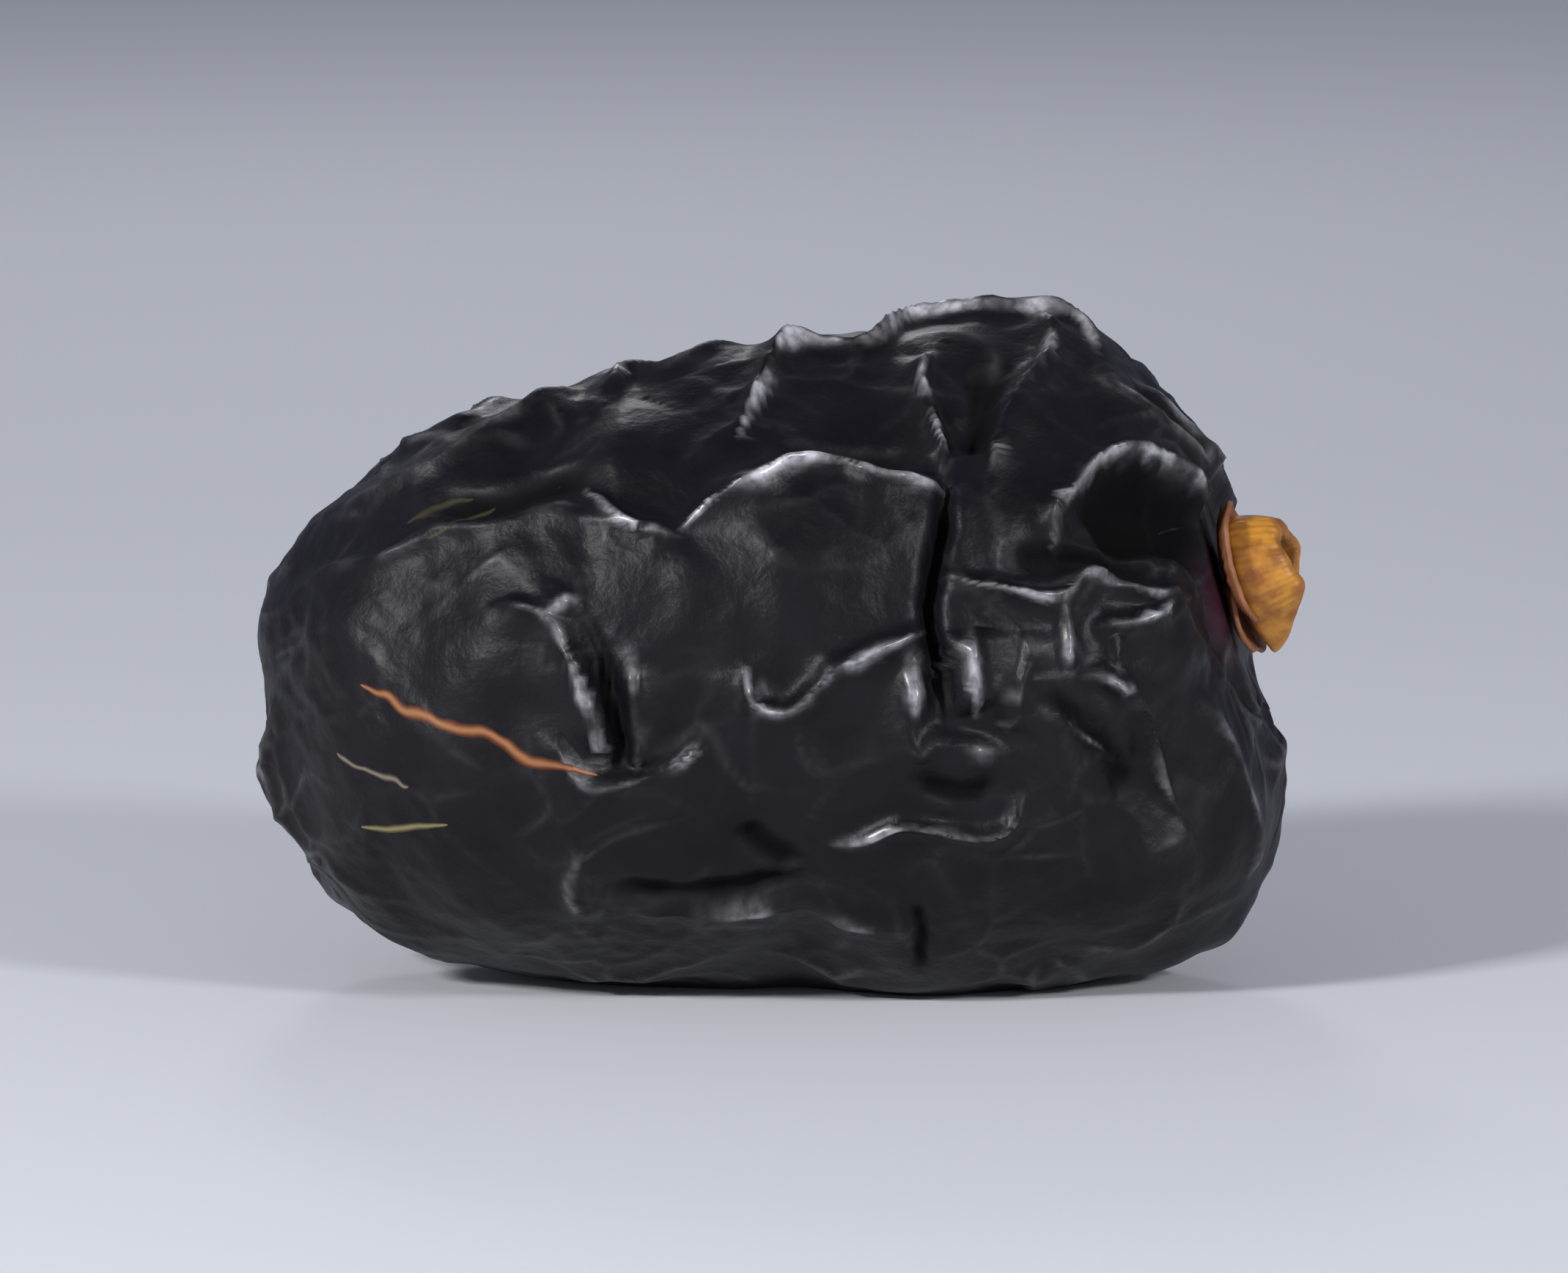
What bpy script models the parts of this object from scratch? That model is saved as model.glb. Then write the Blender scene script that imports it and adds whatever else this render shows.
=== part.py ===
"""Ajwa date: one dried fruit lying on its side, with the calyx still on its stalk end.

The fruit is a blunt oval body, and its wrinkles are raised from it by a formula: swells give its
outline, crests and creases placed by hand give its near face, and a net of wandering ridges gives
the rest.  The calyx is a collar of three petals with a ring on it.

Frame: the table is z = 0, X runs along the fruit to the calyx and the near face looks to -Y.
Lengths are in millimetres here and become metres where a mesh or a place is made.
"""
import math
from dataclasses import dataclass

import bmesh
import bpy
import numpy as np
from mathutils import Vector

MM = 0.001

# The fruit's box on the table
FRUIT_LOW = (-16.15, -10.4, 0.0)
FRUIT_HIGH = (15.75, 10.4, 21.2)

# The plain oval body, before its wrinkles are raised
HALF = np.array([15.6, 9.9, 10.2])
BLUNTNESS = 2.45
AXIS_HEIGHT = 10.0
LEAN = math.radians(3.0)
SHRINK = 0.35
SINK = 0.7

# The calyx's seat, pressed into the fruit
SEAT = Vector((13.7, -0.6, 12.6))
SEAT_RISE = math.radians(16.0)
SEAT_TURN = math.radians(-6.0)
SEAT_RADIUS = 2.7
SEAT_WALL = 1.3
SEAT_EDGE = 0.8
SEAT_DEPTH = 3.0
GAP = 0.3

# The collar of petals on the seat
PETALS = 3
PETAL_REACH = 2.6
PETAL_THICKNESS = 0.45
PETAL_BLUNTNESS = 0.6
PETAL_FLARE = 0.35
PETAL_LAP = 0.2
PETAL_NOTCH = 0.15
PETAL_UNEVEN = 0.05

# The ring on the collar, with a tip that hangs from its lower side
RING_RADIUS = 1.3
RING_WALL = 0.45
RING_HEIGHT = 1.2
RING_TAPER = 0.2
RING_UNEVEN = 0.10
RING_TIP = 0.95
RING_TIP_SHARPNESS = 10
RING_TIP_LIFT = 0.2
RING_TIP_DROP = 0.6

# How finely each solid is cut into triangles
BALL_STEPS = 7
SOFTEN_FACTOR = 0.5
SOFTEN_ROUNDS = 3
FRUIT_RATIO = 0.13
COLLAR_SIDES = 48
COLLAR_ROWS = 12
RING_SIDES = 48
RING_ROWS = 12
CUTTER_SIZE = (60.0, 40.0, 10.0)

# The near face is drawn as seen from a little above, in (along, up) from the middle of the base
VIEW = math.radians(9.0)
SIGHT = np.array([0.0, math.cos(VIEW), -math.sin(VIEW)])
UPWARD = np.array([0.0, math.sin(VIEW), math.cos(VIEW)])

# How far the outline swells or sinks, at equal steps round it from +X and turning up
OUTLINE_SWELLS = (-1.3, 0.0, -0.4, 0.4, -0.7, -0.7, -0.6, -0.3, -0.5, -0.5, 0.4, 0.8)


@dataclass(frozen=True)
class Lump:
    """A soft swell, or a hollow where its height is negative, centred at (along, up)."""

    centre: tuple
    height: float
    spread: float


@dataclass(frozen=True)
class Line:
    """A crest or a crease through the points (along, up) of the near face.

    Its cliff is the side on which it drops steeply, going along it: LEFT, RIGHT or NEITHER.
    """

    points: tuple
    size: float
    width: float
    cliff: int = 0


@dataclass(frozen=True)
class Net:
    """Ridges along the borders of cells about the body, in patches of strong and weak ones."""

    cells: int
    cell_seed: int
    height: float
    width: float
    patch_length: float
    patch_seed: int
    share: float
    swing: float
    most: float


NEITHER, LEFT, RIGHT = 0, 1, -1

LUMPS = (
    Lump((7.6, 21.2), 1.2, 3.4),
    Lump((9.9, 19.8), 0.4, 2.0),
    Lump((2.2, 18.0), -0.8, 2.0),
    Lump((0.8, 20.4), -0.5, 2.4),
    Lump((-15.4, 14.6), 0.9, 2.6),
    Lump((10.8, 14.2), -1.2, 1.6),
    Lump((0.1, 13.0), 0.5, 3.0),
    Lump((-0.8, 6.6), -0.5, 3.2),
    Lump((-10.8, 8.2), 0.5, 4.5),
    Lump((13.4, 1.2), 1.0, 3.4),
    Lump((-14.1, 1.2), 0.5, 3.4),
    Lump((14.8, 12.4), -1.0, 2.6),
)

CRESTS = (
    # The brow along the top, from the left down stroke to the right shoulder
    Line(((-1.2, 17.0), (-0.8, 18.2), (0.5, 20.2), (2.6, 20.3), (4.1, 21.1), (7.2, 21.3), (8.6, 21.1),
          (9.9, 19.7)), 0.78, 0.56, RIGHT),
    Line(((4.7, 19.5), (4.2, 18.2), (4.8, 16.8), (5.1, 16.2)), 0.78, 0.40, LEFT),
    Line(((7.4, 20.6), (8.2, 19.8), (7.3, 18.6), (6.8, 17.4), (6.2, 15.2)), 0.66, 0.44, RIGHT),
    Line(((10.9, 18.7), (12.6, 17.0), (13.6, 15.3)), 0.55, 0.56),
    Line(((9.2, 18.7), (11.5, 17.6), (13.1, 16.0)), 0.40, 0.44),
    # The long fold across the upper face, and its run to the left end
    Line(((-2.9, 14.2), (-1.4, 15.2), (0.5, 16.2), (1.9, 16.0), (3.2, 15.6), (4.8, 15.6)), 1.10, 0.64, LEFT),
    Line(((-5.6, 15.3), (-4.5, 14.4), (-3.1, 14.0)), 0.66, 0.56, LEFT),
    Line(((-15.6, 12.0), (-12.4, 13.2), (-9.1, 14.2), (-5.6, 14.5), (-2.9, 13.9)), 0.55, 0.72, LEFT),
    Line(((-14.1, 14.3), (-10.8, 15.7), (-8.2, 17.2), (-5.9, 18.5)), 0.66, 0.72),
    Line(((-5.8, 17.7), (-4.7, 18.8), (-3.1, 19.0), (-1.1, 19.8)), 0.77, 0.64),
    Line(((-5.1, 18.8), (-4.8, 15.3)), 0.55, 0.56),
    # The folds that bound the smooth left face
    Line(((-8.2, 11.8), (-7.0, 11.5), (-6.3, 10.5), (-5.7, 9.2), (-5.2, 6.9)), 0.95, 0.60, LEFT),
    Line(((-7.0, 11.5), (-6.2, 12.2)), 0.55, 0.50),
    Line(((-4.2, 10.5), (-4.2, 6.8)), 0.66, 0.48, RIGHT),
    Line(((-6.9, 8.0), (-5.3, 6.2), (-3.2, 6.5), (-1.8, 8.0)), 0.60, 0.56, LEFT),
    # The hook and the folds in the middle of the face
    Line(((-1.0, 10.2), (-0.7, 9.1), (0.2, 8.8), (1.3, 9.6), (3.0, 10.5), (4.4, 11.1)), 1.00, 0.56, LEFT),
    Line(((3.9, 10.7), (4.1, 7.7), (4.8, 8.0), (6.7, 7.4)), 0.85, 0.40, LEFT),
    Line(((5.7, 11.2), (5.8, 10.0), (6.0, 8.7)), 0.80, 0.55),
    Line(((1.6, 4.7), (2.9, 5.0), (4.2, 5.2), (6.6, 5.3), (7.1, 6.2)), 0.66, 0.40, LEFT),
    # The lid over the deep dimple by the calyx, and the folds under it
    Line(((8.5, 13.3), (8.2, 14.7), (8.8, 15.7), (9.6, 16.2), (11.1, 16.2), (12.6, 15.5), (13.4, 14.2)),
         0.95, 0.60, RIGHT),
    Line(((5.1, 12.9), (6.8, 12.4), (8.2, 12.1), (9.2, 12.8), (10.2, 12.6), (12.1, 12.3)), 0.90, 0.48, LEFT),
    Line(((9.5, 11.2), (10.4, 11.5), (11.8, 12.0)), 0.72, 0.36),
    Line(((10.2, 11.3), (10.3, 9.8)), 0.50, 0.36),
    Line(((8.3, 12.2), (8.5, 10.2)), 0.55, 0.40),
    Line(((7.2, 10.2), (8.9, 8.2), (10.2, 6.8)), 0.70, 0.48, RIGHT),
    Line(((9.2, 10.2), (10.9, 8.5), (12.1, 5.3)), 0.78, 0.56, RIGHT),
    Line(((7.4, 11.3), (7.2, 9.2), (6.9, 8.0)), 0.52, 0.40, RIGHT),
    Line(((10.4, 4.5), (12.4, 5.3)), 0.50, 0.48),
    Line(((12.8, 9.1), (13.9, 7.0), (14.2, 3.7)), 0.45, 0.64),
    # The low fold along the foot of the face
    Line(((-5.1, 2.7), (-2.4, 2.7), (0.5, 2.7), (1.8, 2.2), (4.2, 2.2)), 0.55, 0.56, LEFT),
    Line(((-5.8, 4.8), (-6.1, 3.2), (-5.1, 2.6)), 0.40, 0.40),
)

CREASES = (
    Line(((5.2, 16.5), (4.8, 14.1), (4.6, 11.2), (4.9, 8.0)), 1.20, 0.66),
    Line(((-6.1, 11.8), (-5.1, 9.8), (-4.7, 6.7)), 0.85, 0.62),
    Line(((9.7, 14.0), (10.8, 14.4), (12.0, 13.9)), 1.70, 1.10),
    Line(((-4.9, 3.3), (-1.6, 3.2), (0.8, 3.7)), 0.60, 0.48),
    Line(((-1.2, 5.2), (0.5, 4.0)), 0.51, 0.56),
    Line(((7.9, 9.6), (9.4, 7.9), (10.6, 6.0)), 0.50, 0.48),
    Line(((-9.9, 14.8), (-5.6, 15.7)), 0.60, 0.64),
    Line(((0.1, 16.8), (3.8, 16.3)), 0.51, 0.56),
    Line(((6.3, 19.5), (6.1, 16.6)), 0.60, 0.56),
    Line(((7.2, 13.5), (9.4, 13.2), (11.8, 13.0)), 0.51, 0.48),
    Line(((4.2, 6.6), (6.3, 6.5)), 0.43, 0.48),
    Line(((4.2, 2.8), (4.2, 1.0)), 0.43, 0.40),
)

# A wrinkle's cross section: how blunt it is, the share of its sharp part, and the factors of its
# width over which the sharp part, the hollow part and a cliff fall off
CREST_BLUNT = 0.18
CREST_SHARP_SHARE = 0.28
CREST_SHARP = 0.6
CREST_HOLLOW = 1.9
CREST_CLIFF = 1.2
CREST_FADE = 5.0
LINE_REACH = 6.0

# The nets of ridges beside the lines, and the tilted facets inside the coarse net's cells
COARSE_NET = Net(96, 21, 0.48, 0.70, 5.0, 11, 0.62, 0.55, 1.2)
FINE_NET = Net(380, 22, 0.21, 0.34, 6.0, 12, 0.35, 0.70, 1.0)
CELL_JITTER = 0.6
FACET_SLOPE = 0.10
FACET_SEED = 5
FACET_EDGE = 0.5

# Where the nets fade: facing the eye, beside a line, on the underside and where the fruit rests,
# each from the first to the second value of the slope or over a distance, down by a share
FACING, FACING_CALM = (0.15, 0.50), 0.90
BESIDE, BESIDE_CALM = 3.2, 0.85
UNDER, UNDER_CALM = (0.20, 0.60), 0.55
RESTING, RESTING_CALM = (0.75, 0.95), 0.90

# How the lines and the nets wander, and the soft unevenness over all: size, length and seed
WOBBLE = (0.10, 3.2, 1)
DRIFT = (0.60, 6.0, 4)
DRIFT_BY_WOBBLE = 1.6
FINE_DRIFT = 0.9
UNEVEN = (0.10, 4.5, 51)


def waves(points, length, seed, count=28, spread=0.25):
    """A sum of plane waves in drawn directions, about `length` apart, with unit variance."""
    rng = np.random.default_rng(seed)
    way = rng.normal(size=(count, 3))
    rate = 2 * math.pi / length * (1 + spread * rng.uniform(-1, 1, count))
    way *= (rate / np.linalg.norm(way, axis=1))[:, None]
    phase = rng.uniform(0, 2 * math.pi, count)
    return np.sin(points @ way.T + phase).sum(1) * math.sqrt(2 / count)


def push(points, size, length, seed):
    """Three wave fields side by side, to push points about."""
    return size * np.stack([waves(points, length, seed + k) for k in range(3)], 1)


def climb(value, low, high):
    """Rise straight from 0 at `low` to 1 at `high`."""
    return np.clip((value - low) / (high - low), 0, 1)


def ridge(distance, width, cliff=NEITHER):
    """A wrinkle's cross section: a sharp crest between hollow flanks, or with a cliff on one side."""
    near = np.sqrt(distance ** 2 + CREST_BLUNT ** 2) - CREST_BLUNT
    sharp, hollow = np.exp(-near / (CREST_SHARP * width)), np.exp(-near / (CREST_HOLLOW * width))
    even = CREST_SHARP_SHARE * sharp + (1 - CREST_SHARP_SHARE) * hollow
    return np.where(distance * cliff > 0, np.exp(-near / (CREST_CLIFF * width)), even)


def body(way):
    """Points of the plain oval body in the unit directions `way`."""
    across = np.hypot(way[:, 1], way[:, 2])
    size = (np.abs(way[:, 0]) ** BLUNTNESS + across ** BLUNTNESS) ** (-1 / BLUNTNESS)
    return way * HALF * size[:, None]


def body_normals(points):
    """Outward normals of the plain oval body at its points."""
    x, y, z = (points / HALF).T
    across = (np.hypot(y, z) + 1e-9) ** (BLUNTNESS - 2)
    steep = np.stack([np.sign(x) * np.abs(x) ** (BLUNTNESS - 1), across * y, across * z], 1) / HALF
    return steep / np.linalg.norm(steep, axis=1)[:, None]


def lay_down(points):
    """Lean the fruit as it lies, and lift its axis above the table."""
    c, s = math.cos(LEAN), math.sin(LEAN)
    x, y, z = points.T
    return np.stack([c * x - s * z, y, s * x + c * z + AXIS_HEIGHT], 1)


def seen_at(points):
    """Where points of the body are seen, as (along, up)."""
    laid = lay_down(points)
    return np.stack([laid[:, 0], laid @ UPWARD], 1)


def near_side(seen):
    """Points of the plain body that lie in front at (along, up), by cutting each section's ellipse."""
    x = np.clip(seen[:, 0], -0.99 * HALF[0], 0.99 * HALF[0])
    size = (1 - np.abs(x / HALF[0]) ** BLUNTNESS) ** (1 / BLUNTNESS)
    deep, high = HALF[1] * size, HALF[2] * size
    c, s = math.cos(VIEW), math.sin(VIEW)
    limit = 0.999 * np.hypot(deep * s, high * c)
    up = np.clip(seen[:, 1] - AXIS_HEIGHT * c, -limit, limit)
    square = (c / deep) ** 2 + (s / high) ** 2
    cross = up * s * c * (1 / deep ** 2 - 1 / high ** 2)
    rest = up ** 2 * ((s / deep) ** 2 + (c / high) ** 2) - 1
    depth = (-cross - np.sqrt(np.maximum(0, cross ** 2 - square * rest))) / square
    return np.stack([x, up * s + depth * c, up * c - depth * s], 1)


def swell(points, normals):
    """Height of the outline's swells and of the lumps."""
    seen = seen_at(points) - (0, AXIS_HEIGHT * math.cos(VIEW))
    steps = len(OUTLINE_SWELLS)
    turn = np.arctan2(seen[:, 1], seen[:, 0]) / (2 * math.pi) % 1 * steps
    part = turn % 1
    part = part ** 2 * (3 - 2 * part)
    first = turn.astype(int) % steps
    swells = np.array(OUTLINE_SWELLS)
    rim = swells[first] * (1 - part) + swells[(first + 1) % steps] * part
    height = rim * (1 - (normals @ SIGHT) ** 2)
    centres = near_side(np.array([lump.centre for lump in LUMPS]))
    for centre, lump in zip(centres, LUMPS):
        distance = np.linalg.norm(points - centre, axis=1)
        height += lump.height * np.exp(-(distance / lump.spread) ** 2 / 2)
    return height


def on_face(points, rounds=12, pull=0.8):
    """Points of the plain body that are seen at (along, up) once the body has swelled."""
    target = np.array(points)
    asked = target.copy()
    for _ in range(rounds):
        p = near_side(asked)
        n = body_normals(p)
        asked += pull * (target - seen_at(p + n * swell(p, n)[:, None]))
    return near_side(asked)


def smooth_line(points, steps=6):
    """A Catmull-Rom line through the points."""
    if len(points) < 3:
        return points
    ends = np.vstack([2 * points[0] - points[1], points, 2 * points[-1] - points[-2]])
    a, b, c, d = (ends[k:len(ends) - 3 + k, None] for k in range(4))
    t = np.linspace(0, 1, steps, endpoint=False)[None, :, None]
    runs = 0.5 * (2 * b + (c - a) * t + (2 * a - 5 * b + 4 * c - d) * t ** 2
                  + (3 * b - a - 3 * c + d) * t ** 3)
    return np.vstack([runs.reshape(-1, 3), points[-1:]])


def beside_line(points, normals, line):
    """Which points lie near a line, how far to its left, and how strong it is beside them."""
    low, high = line.min(0) - LINE_REACH, line.max(0) + LINE_REACH
    near = np.nonzero(((points > low) & (points < high)).all(1))[0]
    inside, outward = points[near], normals[near]
    distance = np.full(len(inside), np.inf)
    part, side = np.zeros((2, len(inside)))
    for k, (a, b) in enumerate(zip(line, line[1:])):
        run = b - a
        t = np.clip((inside - a) @ run / (run @ run), 0, 1)
        d = np.linalg.norm(inside - a - t[:, None] * run, axis=1)
        closer = d < distance
        distance[closer] = d[closer]
        part[closer] = (k + t[closer]) / (len(line) - 1)
        side[closer] = (np.cross(run, inside[closer] - a) * outward[closer]).sum(1)
    strength = climb(np.minimum(part, 1 - part) * CREST_FADE, -0.4, 1)
    return near, distance * np.where(side < 0, -1, 1), strength


def cell_centres(net):
    """A net's centres, spread evenly over the body by the golden angle, then jittered."""
    i = np.arange(net.cells) + 0.5
    x = 1 - 2 * i / net.cells
    turn = i * math.pi * (3 - math.sqrt(5))
    across = np.sqrt(1 - x ** 2)
    way = np.stack([x, across * np.cos(turn), across * np.sin(turn)], 1)
    jitter = np.random.default_rng(net.cell_seed).normal(size=way.shape)
    way += jitter * CELL_JITTER / math.sqrt(net.cells)
    return body(way / np.linalg.norm(way, axis=1)[:, None])


def cell_borders(points, centres, batch=4096):
    """Distance from each point to the border of its cell, and the cell's number."""
    edge, cell = np.empty(len(points)), np.empty(len(points), int)
    for start in range(0, len(points), batch):
        part = slice(start, start + batch)
        square = ((points[part, None] - centres) ** 2).sum(2)
        first, second = np.argpartition(square, 1, axis=1)[:, :2].T
        rows = np.arange(len(square))
        apart = np.linalg.norm(centres[first] - centres[second], axis=1)
        edge[part] = (square[rows, second] - square[rows, first]) / (2 * apart)
        cell[part] = first
    return edge, cell


def net_height(net, points, edge):
    """Height of a net's ridges, strong in some patches and weak in others."""
    patches = net.share + net.swing * waves(points, net.patch_length, net.patch_seed)
    return net.height * np.clip(patches, 0, net.most) * ridge(edge, net.width)


def wrinkled(way):
    """The wrinkled fruit's points in the unit directions `way`, before it is fitted to its box."""
    p = body(way)
    n = body_normals(p)
    wobble = push(p, *WOBBLE)
    drift = push(p, *DRIFT) + DRIFT_BY_WOBBLE * wobble

    crest, crease, close = np.zeros((3, len(p)))
    for line in CRESTS:
        near, distance, strength = beside_line(p + wobble, n, smooth_line(on_face(line.points)))
        rise = line.size * strength * ridge(distance, line.width, line.cliff)
        crest[near] = np.maximum(crest[near], rise)
        close[near] = np.maximum(close[near], np.exp(-(distance / BESIDE) ** 2))
    for line in CREASES:
        near, distance, strength = beside_line(p + wobble, n, smooth_line(on_face(line.points)))
        cut = line.size * strength * np.exp(-(distance / line.width) ** 2)
        crease[near] = np.maximum(crease[near], cut)

    resting = RESTING_CALM * climb(-n[:, 2], *RESTING)
    bare = 1 - np.maximum.reduce([FACING_CALM * climb(-(n @ SIGHT), *FACING), BESIDE_CALM * close,
                                  UNDER_CALM * climb(-n[:, 2], *UNDER), resting])
    centres = cell_centres(COARSE_NET)
    edge, cell = cell_borders(p + drift, centres)
    fine_edge, _ = cell_borders(p + FINE_DRIFT * drift, cell_centres(FINE_NET))
    slopes = np.random.default_rng(FACET_SEED).normal(size=centres.shape) * FACET_SLOPE
    facets = ((p + drift - centres[cell]) * slopes[cell]).sum(1) * (1 - np.exp(-edge / FACET_EDGE))
    net = net_height(COARSE_NET, p, edge) + net_height(FINE_NET, p, fine_edge) + facets

    size, length, seed = UNEVEN
    uneven = size * waves(p, length, seed) * (1 - resting)
    height = swell(p, n) + crest - crease + bare * net + uneven - SHRINK
    return lay_down(p + n * height[:, None])


def fit(points):
    """Fit the points to the fruit's box, with its underside SINK below the table."""
    low, high = np.array(FRUIT_LOW) - (0, 0, SINK), np.array(FRUIT_HIGH)
    return low + (points - points.min(0)) * (high - low) / np.ptp(points, axis=0)


def seat_axis():
    """The way the calyx points: along X, a little up and towards the near side."""
    return Vector((math.cos(SEAT_RISE) * math.cos(SEAT_TURN), math.cos(SEAT_RISE) * math.sin(SEAT_TURN),
                   math.sin(SEAT_RISE)))


def press_seat(points):
    """Press the round seat of the calyx into the stalk end: a flat floor inside a sloping wall."""
    axis = np.array(seat_axis())
    away = points - np.array(SEAT)
    out = away @ axis
    radius = np.linalg.norm(away - out[:, None] * axis, axis=1)
    wall = SEAT_WALL * np.maximum(0, radius - SEAT_RADIUS)
    rim = SEAT_RADIUS + SEAT_EDGE / 2
    floor = climb(-radius, -rim, SEAT_EDGE - rim) * (out > -SEAT_DEPTH)
    new = np.minimum(out, wall) * (1 - floor)
    return points + (new - out)[:, None] * axis


def vertex_places(mesh):
    """The places of a mesh's vertices, N by 3."""
    places = np.empty(len(mesh.vertices) * 3, np.float32)
    mesh.vertices.foreach_get("co", places)
    return places.reshape(-1, 3).astype(float)


def primitive(name, bm):
    """A mesh made from a bmesh primitive, and the places of its vertices."""
    mesh = bpy.data.meshes.new(name)
    bm.to_mesh(mesh)
    bm.free()
    return mesh, vertex_places(mesh)


def move_vertices(mesh, points):
    """Put a mesh's vertices at points in millimetres."""
    mesh.vertices.foreach_set("co", (points * MM).astype(np.float32).ravel())
    mesh.update()
    mesh.shade_smooth()


def material(name, colour, roughness):
    """A Principled material."""
    made = bpy.data.materials.new(name)
    made.use_nodes = True
    shader = made.node_tree.nodes["Principled BSDF"]
    shader.inputs["Base Color"].default_value = (*colour, 1.0)
    shader.inputs["Roughness"].default_value = roughness
    shader.inputs["Metallic"].default_value = 0.0
    return made


def add_object(name, mesh, finish, collection, parent):
    """An object for one piece, with its own material."""
    mesh.materials.append(finish)
    piece = bpy.data.objects.new(name, mesh)
    collection.objects.link(piece)
    piece.parent = parent
    return piece


def add_table_cutter(cutters, parent):
    """A box below the table, which cuts the fruit's resting face."""
    bm = bmesh.new()
    bmesh.ops.create_cube(bm, size=1.0)
    mesh, corners = primitive("table_cutter", bm)
    move_vertices(mesh, corners * CUTTER_SIZE - (0, 0, CUTTER_SIZE[2] / 2))
    cutter = bpy.data.objects.new("table_cutter", mesh)
    cutters.objects.link(cutter)
    cutter.parent = parent
    cutter.hide_render = True
    cutter.display_type = "WIRE"
    return cutter


def add_fruit(collection, cutters, parent):
    """The fruit: a fine ball wrinkled by the formula, softened, thinned, and cut flat to rest on."""
    bm = bmesh.new()
    bmesh.ops.create_icosphere(bm, subdivisions=BALL_STEPS, radius=1.0)
    mesh, way = primitive("date_fruit", bm)
    way /= np.linalg.norm(way, axis=1)[:, None]
    move_vertices(mesh, press_seat(fit(wrinkled(way))))
    skin = material("dried_skin", (0.012, 0.010, 0.012), 0.42)
    fruit = add_object("date_fruit", mesh, skin, collection, parent)
    soften = fruit.modifiers.new("soften", "SMOOTH")
    soften.factor = SOFTEN_FACTOR
    soften.iterations = SOFTEN_ROUNDS
    thin = fruit.modifiers.new("thin", "DECIMATE")
    thin.ratio = FRUIT_RATIO
    rest = fruit.modifiers.new("rest", "BOOLEAN")
    rest.operation = "DIFFERENCE"
    rest.object = add_table_cutter(cutters, parent)
    return fruit


def petal_shape(places):
    """A flattened ball drawn out to three rounded petals, each lapping over the next."""
    x, y, z = places.T
    turn = np.arctan2(y, x)
    part = turn / (2 * math.pi) * PETALS % 1
    notch = PETAL_NOTCH * (1 - np.sin(math.pi * part)) ** 2
    reach = PETAL_REACH * (1 - notch) * (1 + PETAL_UNEVEN * np.sin(2 * turn + 1.0))
    radius = np.hypot(x, y) * reach
    beyond = climb(radius, RING_RADIUS + RING_WALL, PETAL_REACH)
    lift = PETAL_FLARE * beyond ** 1.5 + PETAL_LAP * beyond * (part - 0.5)
    flat = np.sign(z) * np.abs(z) ** PETAL_BLUNTNESS * PETAL_THICKNESS / 2
    return np.stack([radius * np.cos(turn), radius * np.sin(turn), GAP + PETAL_THICKNESS / 2 + flat + lift], 1)


def ring_shape(places):
    """A torus stretched up into a low cup, drawn in at its uneven rim, with a tip on its lower side."""
    x, y, z = places.T
    turn = np.arctan2(y, x)
    level = z / RING_WALL
    top = np.clip(level, 0, 1)
    tip = np.maximum(0, -np.sin(turn)) ** RING_TIP_SHARPNESS
    radius = np.hypot(x, y) * (1 - RING_TAPER * top ** 2) + RING_TIP * tip
    uneven = RING_UNEVEN * top * np.sin(2 * turn + 0.6)
    height = RING_HEIGHT * (1 - RING_TIP_DROP * tip)
    rise = 2 * GAP + PETAL_THICKNESS + height * ((level + 1) / 2 + uneven) + RING_TIP_LIFT * tip
    return np.stack([radius * np.cos(turn), radius * np.sin(turn), rise], 1)


def add_collar(collection, parent):
    """The petal collar, lying on the seat."""
    bm = bmesh.new()
    bmesh.ops.create_uvsphere(bm, u_segments=COLLAR_SIDES, v_segments=COLLAR_ROWS, radius=1.0)
    mesh, places = primitive("petal_collar", bm)
    move_vertices(mesh, petal_shape(places))
    petals = material("dry_petal", (0.20, 0.085, 0.035), 0.6)
    return add_object("petal_collar", mesh, petals, collection, parent)


def add_ring(collection, parent):
    """The sepal ring, standing on the collar round the hollow that the stalk left."""
    bpy.ops.mesh.primitive_torus_add(major_segments=RING_SIDES, minor_segments=RING_ROWS,
                                     major_radius=RING_RADIUS, minor_radius=RING_WALL)
    torus = bpy.context.object
    mesh = torus.data
    bpy.data.objects.remove(torus)
    mesh.name = "sepal_ring"
    move_vertices(mesh, ring_shape(vertex_places(mesh)))
    sepals = material("dry_sepal", (0.48, 0.25, 0.045), 0.5)
    return add_object("sepal_ring", mesh, sepals, collection, parent)


def add_collection(name):
    """A collection in the scene."""
    made = bpy.data.collections.new(name)
    bpy.context.scene.collection.children.link(made)
    return made


def add_empty(name, collection, parent=None):
    """An empty that carries other objects."""
    made = bpy.data.objects.new(name, None)
    collection.objects.link(made)
    made.parent = parent
    return made


def main():
    """Clear the scene and build the date."""
    for old in list(bpy.data.objects):
        bpy.data.objects.remove(old, do_unlink=True)
    collection = add_collection("ajwa_date")
    cutters = add_collection("cutters")
    date = add_empty("date", collection)
    add_fruit(collection, cutters, date)
    calyx = add_empty("calyx", collection, date)
    calyx.location = SEAT * MM
    calyx.rotation_euler = seat_axis().to_track_quat("Z", "Y").to_euler()
    add_collar(collection, calyx)
    add_ring(collection, calyx)


main()
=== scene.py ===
"""Looks of one ajwa date lying on its side: black wrinkled skin, and the dry calyx on its stalk end.

The fruit is a blunt oval whose wrinkles are raised from it by a formula: swells give its outline,
folds listed one by one give its near face, and a net of wandering ridges gives the rest.  The calyx
is a collar of three dry petals with a golden ring on it.

The table is z = 0, X runs along the fruit to the calyx and the near face looks to -Y.  Shapes are
worked out in millimetres and become metres where a mesh is made.
"""

import logging
import math
from dataclasses import dataclass
from enum import Enum
from typing import Any

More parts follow.
